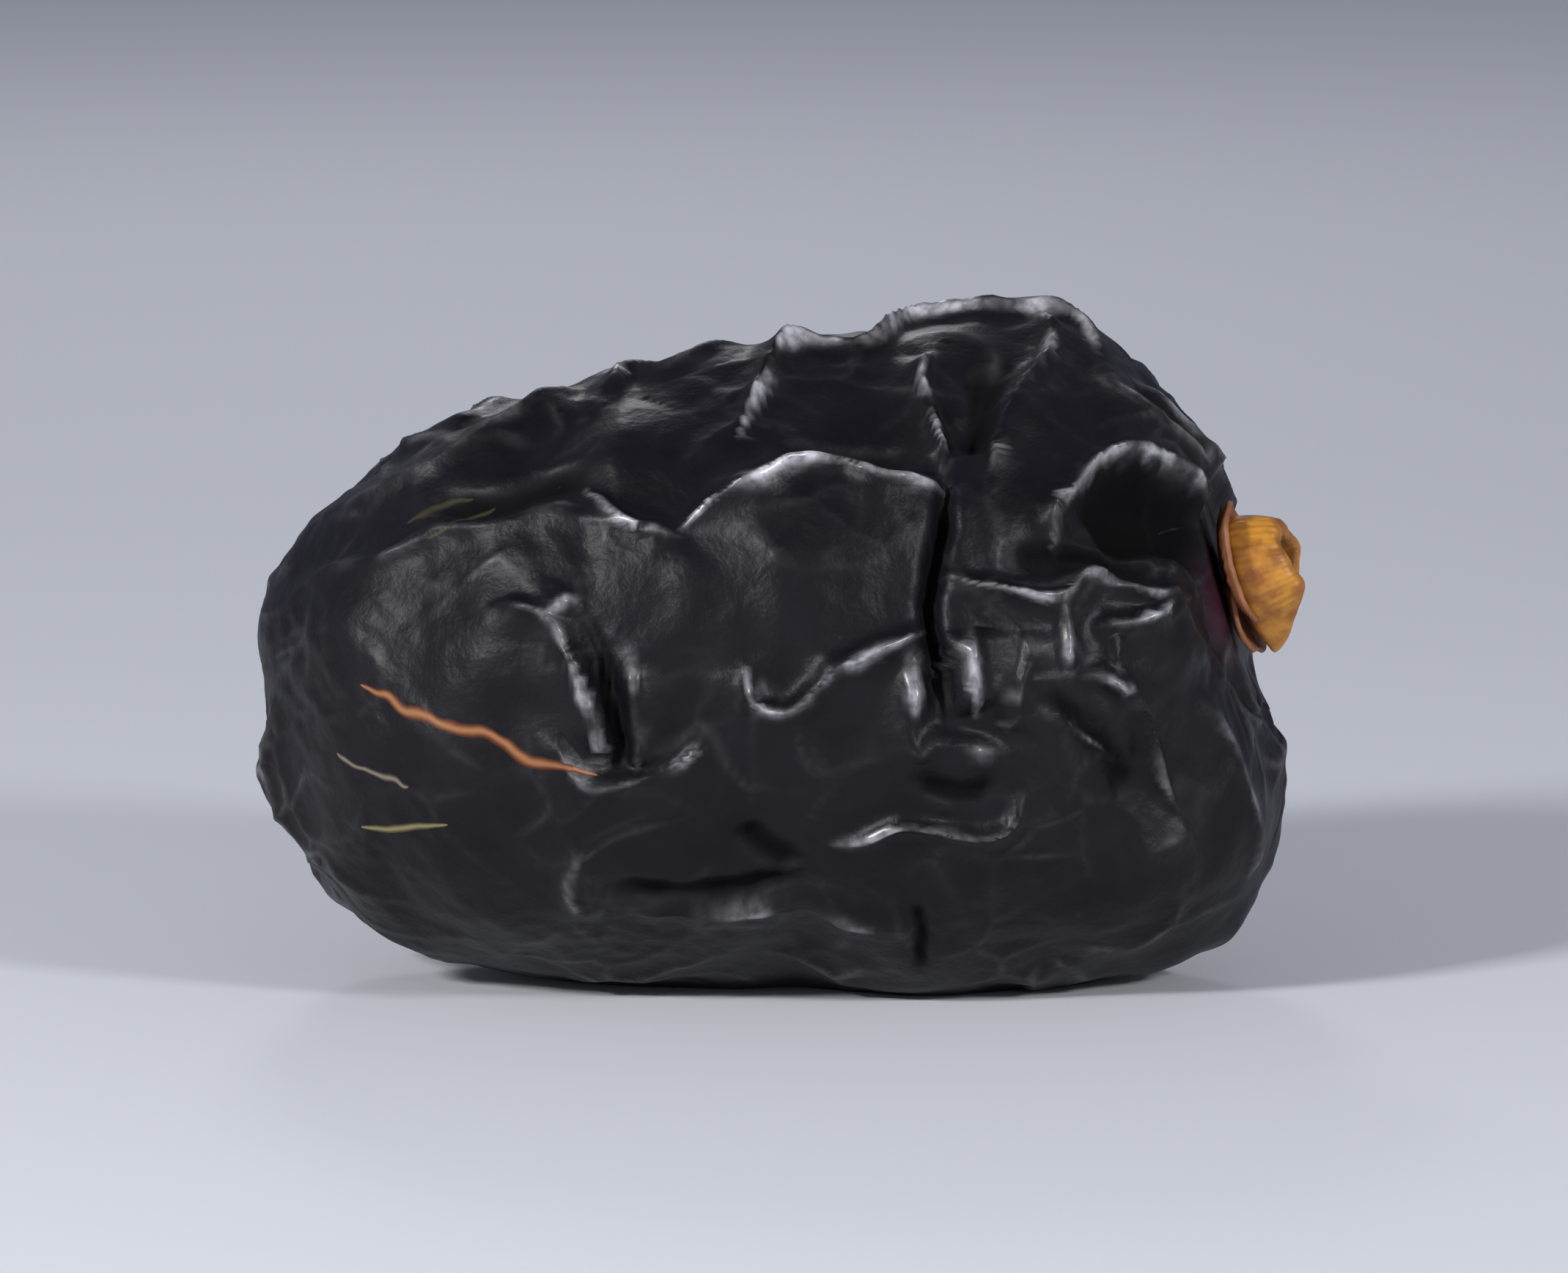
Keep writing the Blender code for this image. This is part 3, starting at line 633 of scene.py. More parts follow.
@dataclass(frozen=True)
class DateFruit:
    """The fruit: one wrinkled skin over flesh, pressed flat where it lies and where the calyx sits."""

    body: OvalBody = OvalBody()
    crest: CrestForm = CrestForm()
    sheen: PaintedSheen = PaintedSheen()
    shrink: float = 0.35
    sink: float = 0.7
    # How far the outline swells or sinks, at equal steps round it from +X and turning up
    outline: tuple[float, ...] = (-1.3, 0.0, -0.4, 0.4, -0.7, -0.7, -0.6, -0.3, -0.5, -0.5, 0.4, 0.8)
    net: RidgeNet = RidgeNet(96, 0.44, 0.70, 21, Waves(0.72, 4.2, 11), 0.58, 1.2)
    fine_net: RidgeNet = RidgeNet(380, 0.19, 0.34, 22, Waves(0.70, 6.0, 12), 0.35, 1.0)
    facet_slope: float = 0.10
    facet_seed: int = 5
    facet_edge: float = 0.5
    # How much each net is held back on the near face, near its crests, low down and at rest
    net_calm: tuple[float, ...] = (0.9, 0.85, 0.55, 0.9)
    fine_calm: tuple[float, ...] = (0.65, 0.55, 0.55, 0.9)
    facing: tuple[float, float] = (0.15, 0.50)
    low: tuple[float, float] = (0.20, 0.60)
    resting: tuple[float, float] = (0.75, 0.95)
    rest_calm: float = 0.9
    calm_reach: float = 3.2
    # How a fold fades towards its ends, and how far it is felt
    fold_fade: float = 5.0
    fold_end: float = -0.4
    fold_reach: float = 6.0
    gather_reach: float = 1.1
    gather_share: float = 0.62
    # The waves that push folds and nets about, and those that ruffle the skin
    wobble: Waves = Waves(0.10, 3.2, 1)
    drift: Waves = Waves(0.6, 6.0, 4)
    drift_by_wobble: float = 1.6
    fine_drift: float = 0.9
    fray: Waves = Waves(0.016, 0.9, 61)
    uneven: Waves = Waves(0.10, 4.5, 51)
    ruffles: tuple[Waves, ...] = (Waves(0.018, 1.5, 52), Waves(0.008, 0.7, 53))
    # The blush on the skin beside the calyx
    blush_place: tuple[float, float, float] = (13.2, -3.2, 11.6)
    blush_fade: float = 0.45
    blush_reach: float = 1.3
    # How the folds' places are found under the swells
    aim_rounds: int = 12
    aim_step: float = 0.8
    # How finely the skin is cut
    cuts: int = 190
    most_triangles: int = 190_000

    def swelling(self, points: np.ndarray, normals: np.ndarray) -> np.ndarray:
        """Add up the outline's swells and the soft swells of the near face.

        The outline's part goes smoothly from one step to the next with the turn about the line
        of sight, and fades towards the middle of the face as 1 - (n . sight)^2.  Each soft swell
        is a bell, exp(-d^2 / 2 spread^2).

        Args:
            points: points of the plain body.
            normals: its normals there.

        Returns:
            A height along the normal for each point.
        """
        middle = self.body.axis_height * math.cos(self.body.sight.rise)
        seen = self.body.seen_at(points) - (0, middle)
        steps = len(self.outline)
        turn = np.arctan2(seen[:, 1], seen[:, 0]) / (2 * math.pi) % 1 * steps
        part = smooth_step(turn % 1, 0, 1)
        first = turn.astype(int) % steps
        swells = np.array(self.outline)
        rim = swells[first] * (1 - part) + swells[(first + 1) % steps] * part
        height = rim * (1 - (normals @ self.body.sight.onward()) ** 2)
        centres = self.body.near_side(np.array([swell.centre for swell in SWELLS]))
        for centre, swell in zip(centres, SWELLS):
            distance = np.linalg.norm(points - centre, axis=1)
            height += swell.height * np.exp(-(distance / swell.spread) ** 2 / 2)
        return height

    def on_face(self, places: tuple[tuple[float, float], ...]) -> np.ndarray:
        """Find the plain body's points that are seen at (along, up) once the body has swelled.

        Args:
            places: the places (along, up).

        Returns:
            Points of the plain body, one for each place.
        """
        target = np.array(places)
        asked = target.copy()
        for _ in range(self.aim_rounds):
            p = self.body.near_side(asked)
            n = self.body.normals(p)
            asked += self.aim_step * (target - self.body.seen_at(p + n * self.swelling(p, n)[:, None]))
        return self.body.near_side(asked)

    @staticmethod
    def smooth_line(points: np.ndarray, steps: int = 6) -> np.ndarray:
        """Run a Catmull-Rom line through the points.

        Args:
            points: the points, N by 3.
            steps: short runs between each two.

        Returns:
            The line's corners; two points stay as they are.
        """
        if len(points) < 3:
            return points
        ends = np.vstack([2 * points[0] - points[1], points, 2 * points[-1] - points[-2]])
        a, b, c, d = (ends[k:len(ends) - 3 + k, None] for k in range(4))
        t = np.linspace(0, 1, steps, endpoint=False)[None, :, None]
        square, cube = t ** 2, t ** 3
        runs = 0.5 * (2 * b + (c - a) * t + (2 * a - 5 * b + 4 * c - d) * square
                      + (3 * b - a - 3 * c + d) * cube)
        return np.vstack([runs.reshape(-1, 3), points[-1:]])

    def beside_fold(self, points: np.ndarray, normals: np.ndarray,
                    line: np.ndarray) -> tuple[np.ndarray, ...]:
        """Measure the points near a fold.

        Args:
            points: all the points, N by 3.
            normals: the body's normals there.
            line: the fold's line.

        Returns:
            The numbers of the points near it, their distances from it, positive on its left and
            negative on its right, and how strong the fold is beside them, which falls off
            towards its two ends.
        """
        near, distance, part, steps, runs = beside_line(points, line, self.fold_reach)
        side = (np.cross(runs, steps) * normals[near]).sum(1)
        strength = smooth_step(np.minimum(part, 1 - part) * self.fold_fade, self.fold_end, 1)
        return near, distance * np.where(side < 0, -1, 1), strength

    def gathered(self, points: np.ndarray, lines: list[np.ndarray], push: np.ndarray) -> np.ndarray:
        """Draw points towards the fold nearest to them, so that its crest gets more of them.

        A point at distance d within the reach r moves to d * (1 - share * (1 - s)), where s rises
        smoothly from 0 at d = 0 to 1 at d = r, and is put back on the body.

        Args:
            points: points of the plain body.
            lines: the folds' lines.
            push: what is added to each point before its distance is measured.

        Returns:
            The moved points of the plain body.
        """
        pushed = points + push
        nearest = np.full(len(points), self.gather_reach)
        move = np.zeros_like(points)
        for line in lines:
            near, distance, _, steps, _ = beside_line(pushed, line, self.gather_reach)
            closer = distance < nearest[near]
            nearest[near[closer]], move[near[closer]] = distance[closer], steps[closer]
        draw = self.gather_share * (1 - smooth_step(nearest, 0, self.gather_reach))
        moved = points - move * draw[:, None]
        return self.body.points(moved / np.linalg.norm(moved, axis=1)[:, None])

    def raise_folds(self, points: np.ndarray, normals: np.ndarray, lines: list[np.ndarray],
                    sheen_width: np.ndarray) -> tuple[np.ndarray, ...]:
        """Raise the crests and sink the grooves that are listed in FOLDS.

        A crest rises as its cross section does, and a groove sinks as a bell of its width.  The
        painted highlight (sheen) on a crest is a narrow bell across it, and the painted shade in a groove
        is a bell of twice the power of its wall.  Where several meet, the highest crest, the deepest
        groove, the brightest painted highlight and the darkest painted shade count.

        Args:
            points: the points as the folds see them, N by 3.
            normals: the body's normals there.
            lines: the folds' lines.
            sheen_width: the width of the painted highlight at each point, on a fold of the usual width.

        Returns:
            The folds' height, how close a crest is, the painted highlight and the painted shade at each
            point.
        """
        crest, groove, close, sheen, painted_shade = np.zeros((5, len(points)))
        for fold, line in zip(FOLDS, lines):
            near, distance, strength = self.beside_fold(points, normals, line)
            if fold.kind is CREST:
                rise = fold.size * strength * self.crest.rise(distance, fold.width, fold.steep)
                crest[near] = np.maximum(crest[near], rise)
                close[near] = np.maximum(close[near], bell(distance, self.calm_reach))
                # The painted highlight: a stripe along the crest, moved to one side by its shift
                width = sheen_width[near] * self.sheen.on_fold(fold)
                stripe = strength * bell(distance - fold.sheen_shift, width)
                sheen[near] = np.maximum(sheen[near], fold.sheen * stripe)
            else:
                power, dark = GROOVES[fold.kind]
                cut = fold.size * strength * bell(distance, fold.width, power)
                groove[near] = np.maximum(groove[near], cut)
                # The painted shade: darkest on the groove's floor, fading up its walls
                if dark:
                    floor = strength * bell(distance, dark * fold.width, 2 * power)
                    painted_shade[near] = np.maximum(painted_shade[near], floor)
        return crest - groove, close, sheen, painted_shade

    def relief(self, way: np.ndarray) -> Relief:
        """Raise the wrinkles from the plain body.

        The height along the normal is the swells, plus the folds placed by hand, plus the two
        nets of ridges and the facets between them where the skin has no folds of its own, plus
        soft waves, less the shrinkage.  A facet is a plane of a drawn slope through the middle
        of its cell, faded out at the cell's border.

        Args:
            way: unit directions, N by 3.

        Returns:
            The points in millimetres with their painted highlight and painted shade.
        """
        lines = [self.smooth_line(self.on_face(fold.points)) for fold in FOLDS]
        p = self.body.points(way)
        p = self.gathered(p, lines, self.wobble.push(p))
        n = self.body.normals(p)
        wobble = self.wobble.push(p)
        drift = self.drift.push(p) + self.drift_by_wobble * wobble
        sheen_width = self.sheen.widths(p)
        pushed = p + wobble + self.fray.push(p)
        folds, close, sheen, painted_shade = self.raise_folds(pushed, n, lines, sheen_width)

        resting = ramp(-n[:, 2], *self.resting)
        places = (ramp(-(n @ self.body.sight.onward()), *self.facing), close,
                  ramp(-n[:, 2], *self.low), resting)
        bare, fine_bare = (1 - np.maximum.reduce([share * place for share, place in zip(calm, places)])
                           for calm in (self.net_calm, self.fine_calm))
        edge, cell = self.net.borders(self.body, p + drift)
        fine_edge, _ = self.fine_net.borders(self.body, p + self.fine_drift * drift)
        share, fine_share = self.net.strength(p), self.fine_net.strength(p)
        ridges = self.net.height * share * self.crest.rise(edge, self.net.width)
        fine = self.fine_net.height * fine_share * self.crest.rise(fine_edge, self.fine_net.width)
        slopes = np.random.default_rng(self.facet_seed).normal(size=(self.net.cells, 3)) * self.facet_slope
        centres = self.body.centres(self.net.cells, self.net.seed)
        facets = ((p + drift - centres[cell]) * slopes[cell]).sum(1)
        facets *= 1 - np.exp(-edge / self.facet_edge)

        waves = self.uneven.rise(p) + sum(ruffle.rise(p) for ruffle in self.ruffles)
        height = self.swelling(p, n) + folds + bare * (ridges + facets) + fine_bare * fine
        height += waves * (1 - self.rest_calm * resting) - self.shrink

        # The painted highlight along the crests and the nets' ridges, broken into patches
        net_width = np.maximum(sheen_width, self.sheen.net_width)
        sheen = self.sheen.patchy(p) * np.maximum.reduce([
            sheen, self.sheen.net * bare * np.minimum(share, 1) * bell(edge, net_width),
            self.sheen.fine_net * fine_bare * fine_share * bell(fine_edge, net_width)])
        # The painted shade gives way where the painted highlight lies
        painted_shade *= 1 - np.minimum(1, self.sheen.over_hollow * sheen)
        return Relief(self.body.lay_down(p + n * height[:, None]), sheen, painted_shade)

    def fitted(self, points: np.ndarray) -> np.ndarray:
        """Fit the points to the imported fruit's box, with their underside `sink` below the table.

        Args:
            points: the fruit's points.

        Returns:
            The points, shifted and scaled along each axis.
        """
        low, high = (np.array(corner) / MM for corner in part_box("date_fruit"))
        low[2] -= self.sink
        return low + (points - points.min(0)) * (high - low) / np.ptp(points, axis=0)

    def build(self, calyx: "Calyx") -> bpy.types.Object:
        """Make the fruit's mesh.

        Args:
            calyx: the calyx whose seat is pressed into the stalk end.

        Returns:
            The fruit, thinned where it is smooth and flat where it rests.
        """
        way, quads = ball_grid(self.cuts)
        relief = self.relief(way)
        points = calyx.press_seat(self.fitted(relief.points))
        away = np.linalg.norm(points - np.array(calyx.seat), axis=1)
        beside = np.linalg.norm(points - np.array(self.blush_place), axis=1)
        rim = bell(np.maximum(0, away - calyx.seat_radius), self.blush_fade)
        blush = rim * bell(beside, self.blush_reach)
        points[:, 2] = np.maximum(points[:, 2], 0)
        fruit = mesh_piece("fruit_skin", points, quads, DriedSkin())
        # Each point carries its painted highlight (crest), its painted shade in the hollows, and its blush
        for name, values in (("crest", relief.sheen), ("painted_shade", relief.painted_shade), ("blush", blush)):
            put_attribute(fruit, name, values)
        thin = fruit.modifiers.new("thin", "DECIMATE")
        thin.ratio = min(1.0, self.most_triangles / (2 * len(quads)))
        return fruit


@dataclass(frozen=True)
class Calyx:
    """Where the calyx sits on the stalk end, and its own axes: third outwards, second up."""

    seat: tuple[float, float, float] = (13.7, -0.6, 12.6)
    rise: float = math.radians(16.0)
    turn: float = math.radians(-6.0)
    seat_radius: float = 2.7
    seat_wall: float = 1.3
    seat_edge: tuple[float, float] = (-0.5, 0.3)
    seat_depth: float = 3.0

    def axes(self) -> np.ndarray:
        """Work out the calyx's own axes.

        Returns:
            Three unit axes as rows: across to the far side, up and outwards.
        """
        level = math.cos(self.rise)
        out = Vector((level * math.cos(self.turn), level * math.sin(self.turn), math.sin(self.rise)))
        return np.array(out.to_track_quat("Z", "Y").to_matrix()).T

    def place(self, points: np.ndarray) -> np.ndarray:
        """Carry points of the calyx's own axes to their place on the date."""
        return points @ self.axes() + self.seat

    def press_seat(self, points: np.ndarray) -> np.ndarray:
        """Press the round seat into the fruit: a flat floor, with a wall that slopes away round it.

        A point beyond the floor or the wall is brought back to it, and one a little behind the
        floor is brought out to it.

        Args:
            points: the fruit's points.

        Returns:
            The points, moved along the calyx's axis.
        """
        axis = self.axes()[2]
        away = points - np.array(self.seat)
        out = away @ axis
        radius = np.linalg.norm(away - out[:, None] * axis, axis=1)
        wall = self.seat_wall * np.maximum(0, radius - self.seat_radius)
        floor = ramp(self.seat_radius - radius, *self.seat_edge) * (out > -self.seat_depth)
        new = np.minimum(out, wall) * (1 - floor)
        return points + (new - out)[:, None] * axis


@dataclass(frozen=True)
class PetalCollar:
    """Three broad dry petals round the stalk end, each lapping over the next."""

    calyx: Calyx = Calyx()
    bearings: tuple[float, ...] = (-88.0, 28.0, 148.0)
    reaches: tuple[float, ...] = (2.55, 2.35, 2.5)
    half_width: float = math.radians(82.0)
    taper: float = 0.32
    thickness: float = 0.16
    foot: float = 0.12
    lap: float = 0.13
    heart: float = 0.04
    lean: float = 0.6
    # The height and rate of each wave in the edge and of the veins; the curl, and its swing's
    # height, rate and step; the crumple's height and its rates across and along
    edge_waves: tuple[tuple[float, float], ...] = ((0.035, 7), (0.02, 17))
    veins: tuple[float, float] = (0.030, 6)
    curl: tuple[float, float, float, float] = (0.42, 0.16, 3, 1.7)
    crumple: tuple[float, float, float] = (0.035, 5, 9)
    across_steps: int = 72
    along_steps: int = 36

    def petal(self, number: int) -> tuple[np.ndarray, np.ndarray]:
        """One petal: a fan from the stalk to a rounded, waved edge that curls away from the fruit.

        In polar places round the calyx's axis, the turn is the petal's bearing plus u times its
        half width, and the radius is v times its reach times (1 - taper * u^4) times an edge that
        is waved by sines of u as v nears 1.  Its height is its foot, plus its lap on the others,
        plus a curl v^3, plus veins that fan out as a cosine of u, plus a crumple.

        Args:
            number: which petal.

        Returns:
            The petal's points in the calyx's axes and its quads.
        """
        u, v = np.meshgrid(np.linspace(-1, 1, self.across_steps),
                           np.linspace(self.heart, 1, self.along_steps), indexing="ij")
        edge = sum(height * np.sin(rate * u + (k + 1) * number)
                   for k, (height, rate) in enumerate(self.edge_waves))
        radius = v * self.reaches[number] * (1 - self.taper * u ** 4) * (1 + v ** 3 * edge)
        turn = math.radians(self.bearings[number]) + u * self.half_width
        veins = self.veins[0] * np.cos(2 * math.pi * self.veins[1] * u + number)
        veins *= np.sqrt(np.sin(math.pi * v))
        curl, swing, rate, step = self.curl
        curled = (curl + swing * np.sin(rate * u + step * number)) * v ** 3
        crumple = self.crumple[0] * np.sin(self.crumple[1] * u + self.crumple[2] * v + number) * v
        height = self.foot + self.lap * (number + self.lean * u) * v + curled + veins + crumple
        points = np.stack([radius * np.cos(turn), radius * np.sin(turn), height], -1).reshape(-1, 3)
        return points, grid_quads(np.arange(u.size).reshape(u.shape))

    def build(self) -> bpy.types.Object:
        """Make the three petals as one piece, with their thickness.

        Returns:
            The collar.
        """
        points, quads = zip(*(self.petal(number) for number in range(len(self.bearings))))
        size = len(points[0])
        faces = np.concatenate([quad + k * size for k, quad in enumerate(quads)])
        local = np.concatenate(points)
        collar = mesh_piece("collar_petals", self.calyx.place(local), faces, PaperyPetal())
        put_attribute(collar, "reach", np.hypot(local[:, 0], local[:, 1]) / max(self.reaches))
        wall = collar.modifiers.new("thickness", "SOLIDIFY")
        wall.thickness = self.thickness * MM
        wall.offset = 0.0
        smooth = collar.modifiers.new("smooth", "SUBSURF")
        smooth.levels = 1
        smooth.render_levels = 1
        return collar


@dataclass(frozen=True)
class SepalRing:
    """The raised golden rim inside the collar, round the hollow that the stalk pulled out of."""

    calyx: Calyx = Calyx()
    radius: float = 1.3
    wall: float = 0.45
    height: float = 1.75
    foot: float = 0.55
    narrowing: float = 0.20
    tip: float = 0.95
    tip_lift: float = 0.35
    tip_drop: float = 0.6
    tip_power: int = 10
    pole: float = 0.1
    # The height, rate and phase of the waves in the rim and in the ring's roundness
    rim_waves: tuple[tuple[float, ...], ...] = ((0.10, 2, 0.6), (0.04, 3, 2.0), (0.02, 7, 0.0))
    round_wave: tuple[float, ...] = (0.03, 3, 2.0)
    # The height and rate of each set of fibres, how far and how often they sway, and their slant
    fibres: tuple[tuple[float, ...], ...] = (
        (0.014, 23, 4, 3, 2), (0.010, 41, 5, 2, 0), (0.008, 83, 0, 0, 5))
    turn_steps: int = 192
    section_steps: int = 96
    section_blur: int = 9

    def surface(self) -> tuple[np.ndarray, np.ndarray]:
        """A cup turned round the calyx's axis, with a worn rim and a tip that hangs down.

        The section runs from the middle of the floor, up the inner wall, over the rim, down the
        outer wall and under to the middle again.  It is blurred, narrows as its height squared
        towards the rim, which rises and falls as a sum of sines, and has fibres up its walls as
        sines of the turn.  Its radius grows below by tip * max(0, cos(turn from down))^tip_power,
        where its height is scaled down by tip_drop and lifted by tip_lift.

        Returns:
            The points in the calyx's axes and the quads.
        """
        inner, outer = self.radius - self.wall, self.radius + self.wall
        low, high = self.foot, self.foot + self.height
        s = np.linspace(0, 1, self.section_steps)
        knots, radii, heights = np.array([
            (0.00, 0.0, low + 0.30), (0.18, inner * 0.85, low + 0.34), (0.24, inner, low + 0.42),
            (0.44, inner + 0.10, high - 0.12), (0.50, self.radius, high), (0.56, outer - 0.10, high - 0.10),
            (0.78, outer, low + 0.18), (0.84, outer - 0.12, low), (1.00, 0.0, low)]).T
        kernel = np.hanning(self.section_blur) / np.hanning(self.section_blur).sum()
        wide, up = (np.convolve(np.pad(np.interp(s, knots, at), self.section_blur // 2, mode="edge"),
                                kernel, "valid") for at in (radii, heights))
        wide[[0, -1]] = 0
        turn = np.linspace(0, 2 * math.pi, self.turn_steps, endpoint=False)
        t, r = np.meshgrid(turn, wide, indexing="ij")
        z = np.broadcast_to(up, t.shape)
        top = np.clip((z - low) / self.height, 0, 1)
        body = smooth_step(r, self.pole, inner)
        down = np.maximum(0, -np.sin(t)) ** self.tip_power * body
        uneven = sum(size * np.sin(rate * t + phase) for size, rate, phase in self.rim_waves) * body
        fibres = sum(size * np.sin(rate * t + sway * np.sin(often * t) + slant * top)
                     for size, rate, sway, often, slant in self.fibres) * body
        size, rate, phase = self.round_wave
        radius = r * (1 - self.narrowing * top ** 2 + size * np.sin(rate * t + phase))
        radius += fibres + self.tip * down
        rise = low + (z - low) * (1 - self.tip_drop * down) + top * uneven * self.height
        rise += self.tip_lift * down
        points = np.stack([radius * np.cos(t), radius * np.sin(t), rise], -1).reshape(-1, 3)
        corner = np.arange(t.size).reshape(t.shape)
        return points, grid_quads(np.vstack([corner, corner[:1]]).T)

    def build(self) -> bpy.types.Object:
        """Make the ring.

        Returns:
            The ring, with its poles merged.
        """
        points, quads = self.surface()
        ring = mesh_piece("sepal_cup", self.calyx.place(points), quads, FibrousSepal())
        put_attribute(ring, "depth", np.hypot(points[:, 0], points[:, 1]))
        weld = ring.modifiers.new("weld", "WELD")
        weld.merge_threshold = 0.00001
        return ring


@dataclass(frozen=True)
class Finish:
    """What a surface is made of."""

    name: str

    def paint(self, tree: bpy.types.NodeTree, shader: bpy.types.Node) -> None:
        """Set up the material's nodes; each finish has its own."""
        raise NotImplementedError

    def material(self) -> bpy.types.Material:
        """Make the finish.

        Returns:
            A Principled material.
        """
        made = bpy.data.materials.new(self.name)
        made.use_nodes = True
        self.paint(made.node_tree, made.node_tree.nodes["Principled BSDF"])
        return made


@dataclass(frozen=True)
class Split:
    """A split or streak in the skin from one place (along, up) to another, with its two colours."""

    start: tuple[float, float]
    end: tuple[float, float]
    width: float = 0.09
    wander: float = 0.6
    middle: str = "#3C3929"
    border: str = "#24221A"


@dataclass(frozen=True)
class DriedSkin(Finish):
    """Dried date skin over dark flesh, wrinkled as it shrank: near black and matte, with a glossy coat and
    a painted highlight on its crests, and painted shade in its creases and pits.
    """

    name: str = "dried_date_skin"
    facet: str = "#0D0B11"
    bloom: str = "#15131A"
    # The painted highlight on the crests
    crest: str = "#CCCAD0"
    # The painted shade in the creases and pits
    painted_shade: str = "#030304"
    blush: str = "#3A1524"
    grain_depth: float = 0.00003
    # In millimetres: the bloom's clouds, the grain, the specks that break the painted highlight and the
    # splits' waver; real grain is finer than a picture shows, so it is drawn coarser
    cloud_size: float = 2.381
    grain_size: float = 0.2381
    speck_size: float = 0.3846
    waver_size: float = 2.381
    splits: tuple[Split, ...] = (
        Split((-12.6, 8.9), (-5.6, 6.1), 0.20, 0.6, "#A06E4A", "#5A2C12"),
        Split((-13.6, 7.0), (-11.4, 6.0), 0.09, 0.6, "#807668", "#443A30"),
        Split((-12.8, 4.7), (-10.1, 4.75), 0.10, 0.25, "#8E8660", "#4E4624"),
        Split((-14.9, 13.7), (-13.4, 14.5)),
        Split((-11.25, 14.2), (-9.4, 14.9)),
        Split((-10.6, 13.5), (-8.75, 14.6), 0.08),
    )

    def split_colour(self, tree: bpy.types.NodeTree, split: Split, below: bpy.types.NodeSocket,
                     picture: bpy.types.NodeSocket, noise: bpy.types.NodeSocket,
                     front: bpy.types.NodeSocket) -> bpy.types.NodeSocket:
        """Lay a split over the colour below it.

        A point's distance to the split's line, pushed about by noise, is taken as a share of the
        split's width, which tapers to both ends as the root of 4 h (1 - h).

        Args:
            tree: the material's tree.
            split: the split.
            below: the skin's colour so far.
            picture: the point's (along, up) in metres.
            noise: a noise colour that pushes the line about.
            front: 1 on the near face and 0 elsewhere.

        Returns:
            The colour with the split on it.
        """
        start, end = (Vector((*place, 0)) * MM for place in (split.start, split.end))
        run = end - start
        centred = add_node(tree, "VectorMath", {"operation": "SUBTRACT", 0: noise, 1: (0.5, 0.5, 0.5)})
        push = add_node(tree, "VectorMath", {"operation": "SCALE", 0: centred,
                                             "Scale": 2 * split.wander * MM})
        moved = add_node(tree, "VectorMath", {"operation": "ADD", 0: picture, 1: push})
        flat = add_node(tree, "VectorMath", {"operation": "MULTIPLY", 0: moved, 1: (1, 1, 0)})
        away = add_node(tree, "VectorMath", {"operation": "SUBTRACT", 0: flat, 1: start})
        along = add_node(tree, "VectorMath", {"operation": "DOT_PRODUCT", 0: away,
                                              1: run / run.length_squared})
        part = add_node(tree, "Clamp", {"Value": along})
        foot = add_node(tree, "VectorMath", {"operation": "SCALE", 0: run, "Scale": part})
        off = add_node(tree, "VectorMath", {"operation": "DISTANCE", 0: away, 1: foot})
        rest = add_node(tree, "Math", {"operation": "SUBTRACT", 0: 1.0, 1: part})
        bow = add_node(tree, "Math", {"operation": "MULTIPLY", 0: part, 1: rest})
        root = add_node(tree, "Math", {"operation": "SQRT", 0: bow})
        width = add_node(tree, "Math", {"operation": "MULTIPLY_ADD", 0: root, 1: 2 * split.width * MM,
                                        2: 0.02 * MM})
        share = add_node(tree, "Math", {"operation": "DIVIDE", 0: off, 1: width})
        inner = add_node(tree, "MapRange", {"From Min": 0.15, "From Max": 0.75, "Value": share})
        flesh = add_node(tree, "Mix", {"data_type": "RGBA", "A": linear(split.middle),
                                       "B": linear(split.border), "Factor": inner})
        cover = add_node(tree, "MapRange", {"From Min": 1.1, "From Max": 0.8, "Value": share})
        shown = add_node(tree, "Math", {"operation": "MULTIPLY", 0: cover, 1: front})
        return add_node(tree, "Mix", {"data_type": "RGBA", "Factor": shown, "A": below, "B": flesh})

    def paint(self, tree: bpy.types.NodeTree, shader: bpy.types.Node) -> None:
        """Mix bloom, a painted highlight on the crests, painted shade in the hollows, blush and splits, and
        raise the skin's grain.

        Args:
            tree: the material's tree.
            shader: its Principled shader.
        """
        place = add_node(tree, "TexCoord", output="Object")
        cloud, grain, speck = (
            add_node(tree, "TexNoise", {"Scale": pattern_scale(size), "Detail": detail,
                                        "Roughness": fine, "Vector": place})
            for size, detail, fine in ((self.cloud_size, 3.0, 0.5), (self.grain_size, 3.0, 0.6),
                                       (self.speck_size, 2.0, 0.5)))
        # The painted highlight, the painted shade and the blush, as the fruit's points carry them
        crest, painted_shade, blush = (add_node(tree, "Attribute", {"attribute_name": name}, "Fac")
                                for name in ("crest", "painted_shade", "blush"))

        cloudy = add_node(tree, "MapRange", {"From Min": 0.35, "From Max": 0.70, "Value": cloud})
        colour = add_node(tree, "Mix", {"data_type": "RGBA", "A": linear(self.facet),
                                        "B": linear(self.bloom), "Factor": cloudy})
        broken = add_node(tree, "MapRange", {"From Min": 0.35, "From Max": 0.60, "To Min": 0.45,
                                             "Value": speck})
        # The painted highlight, broken by specks; it also gives the crests their glossy coat
        painted_sheen_and_coat = add_node(tree, "Math", {"operation": "MULTIPLY", 0: crest, 1: broken})
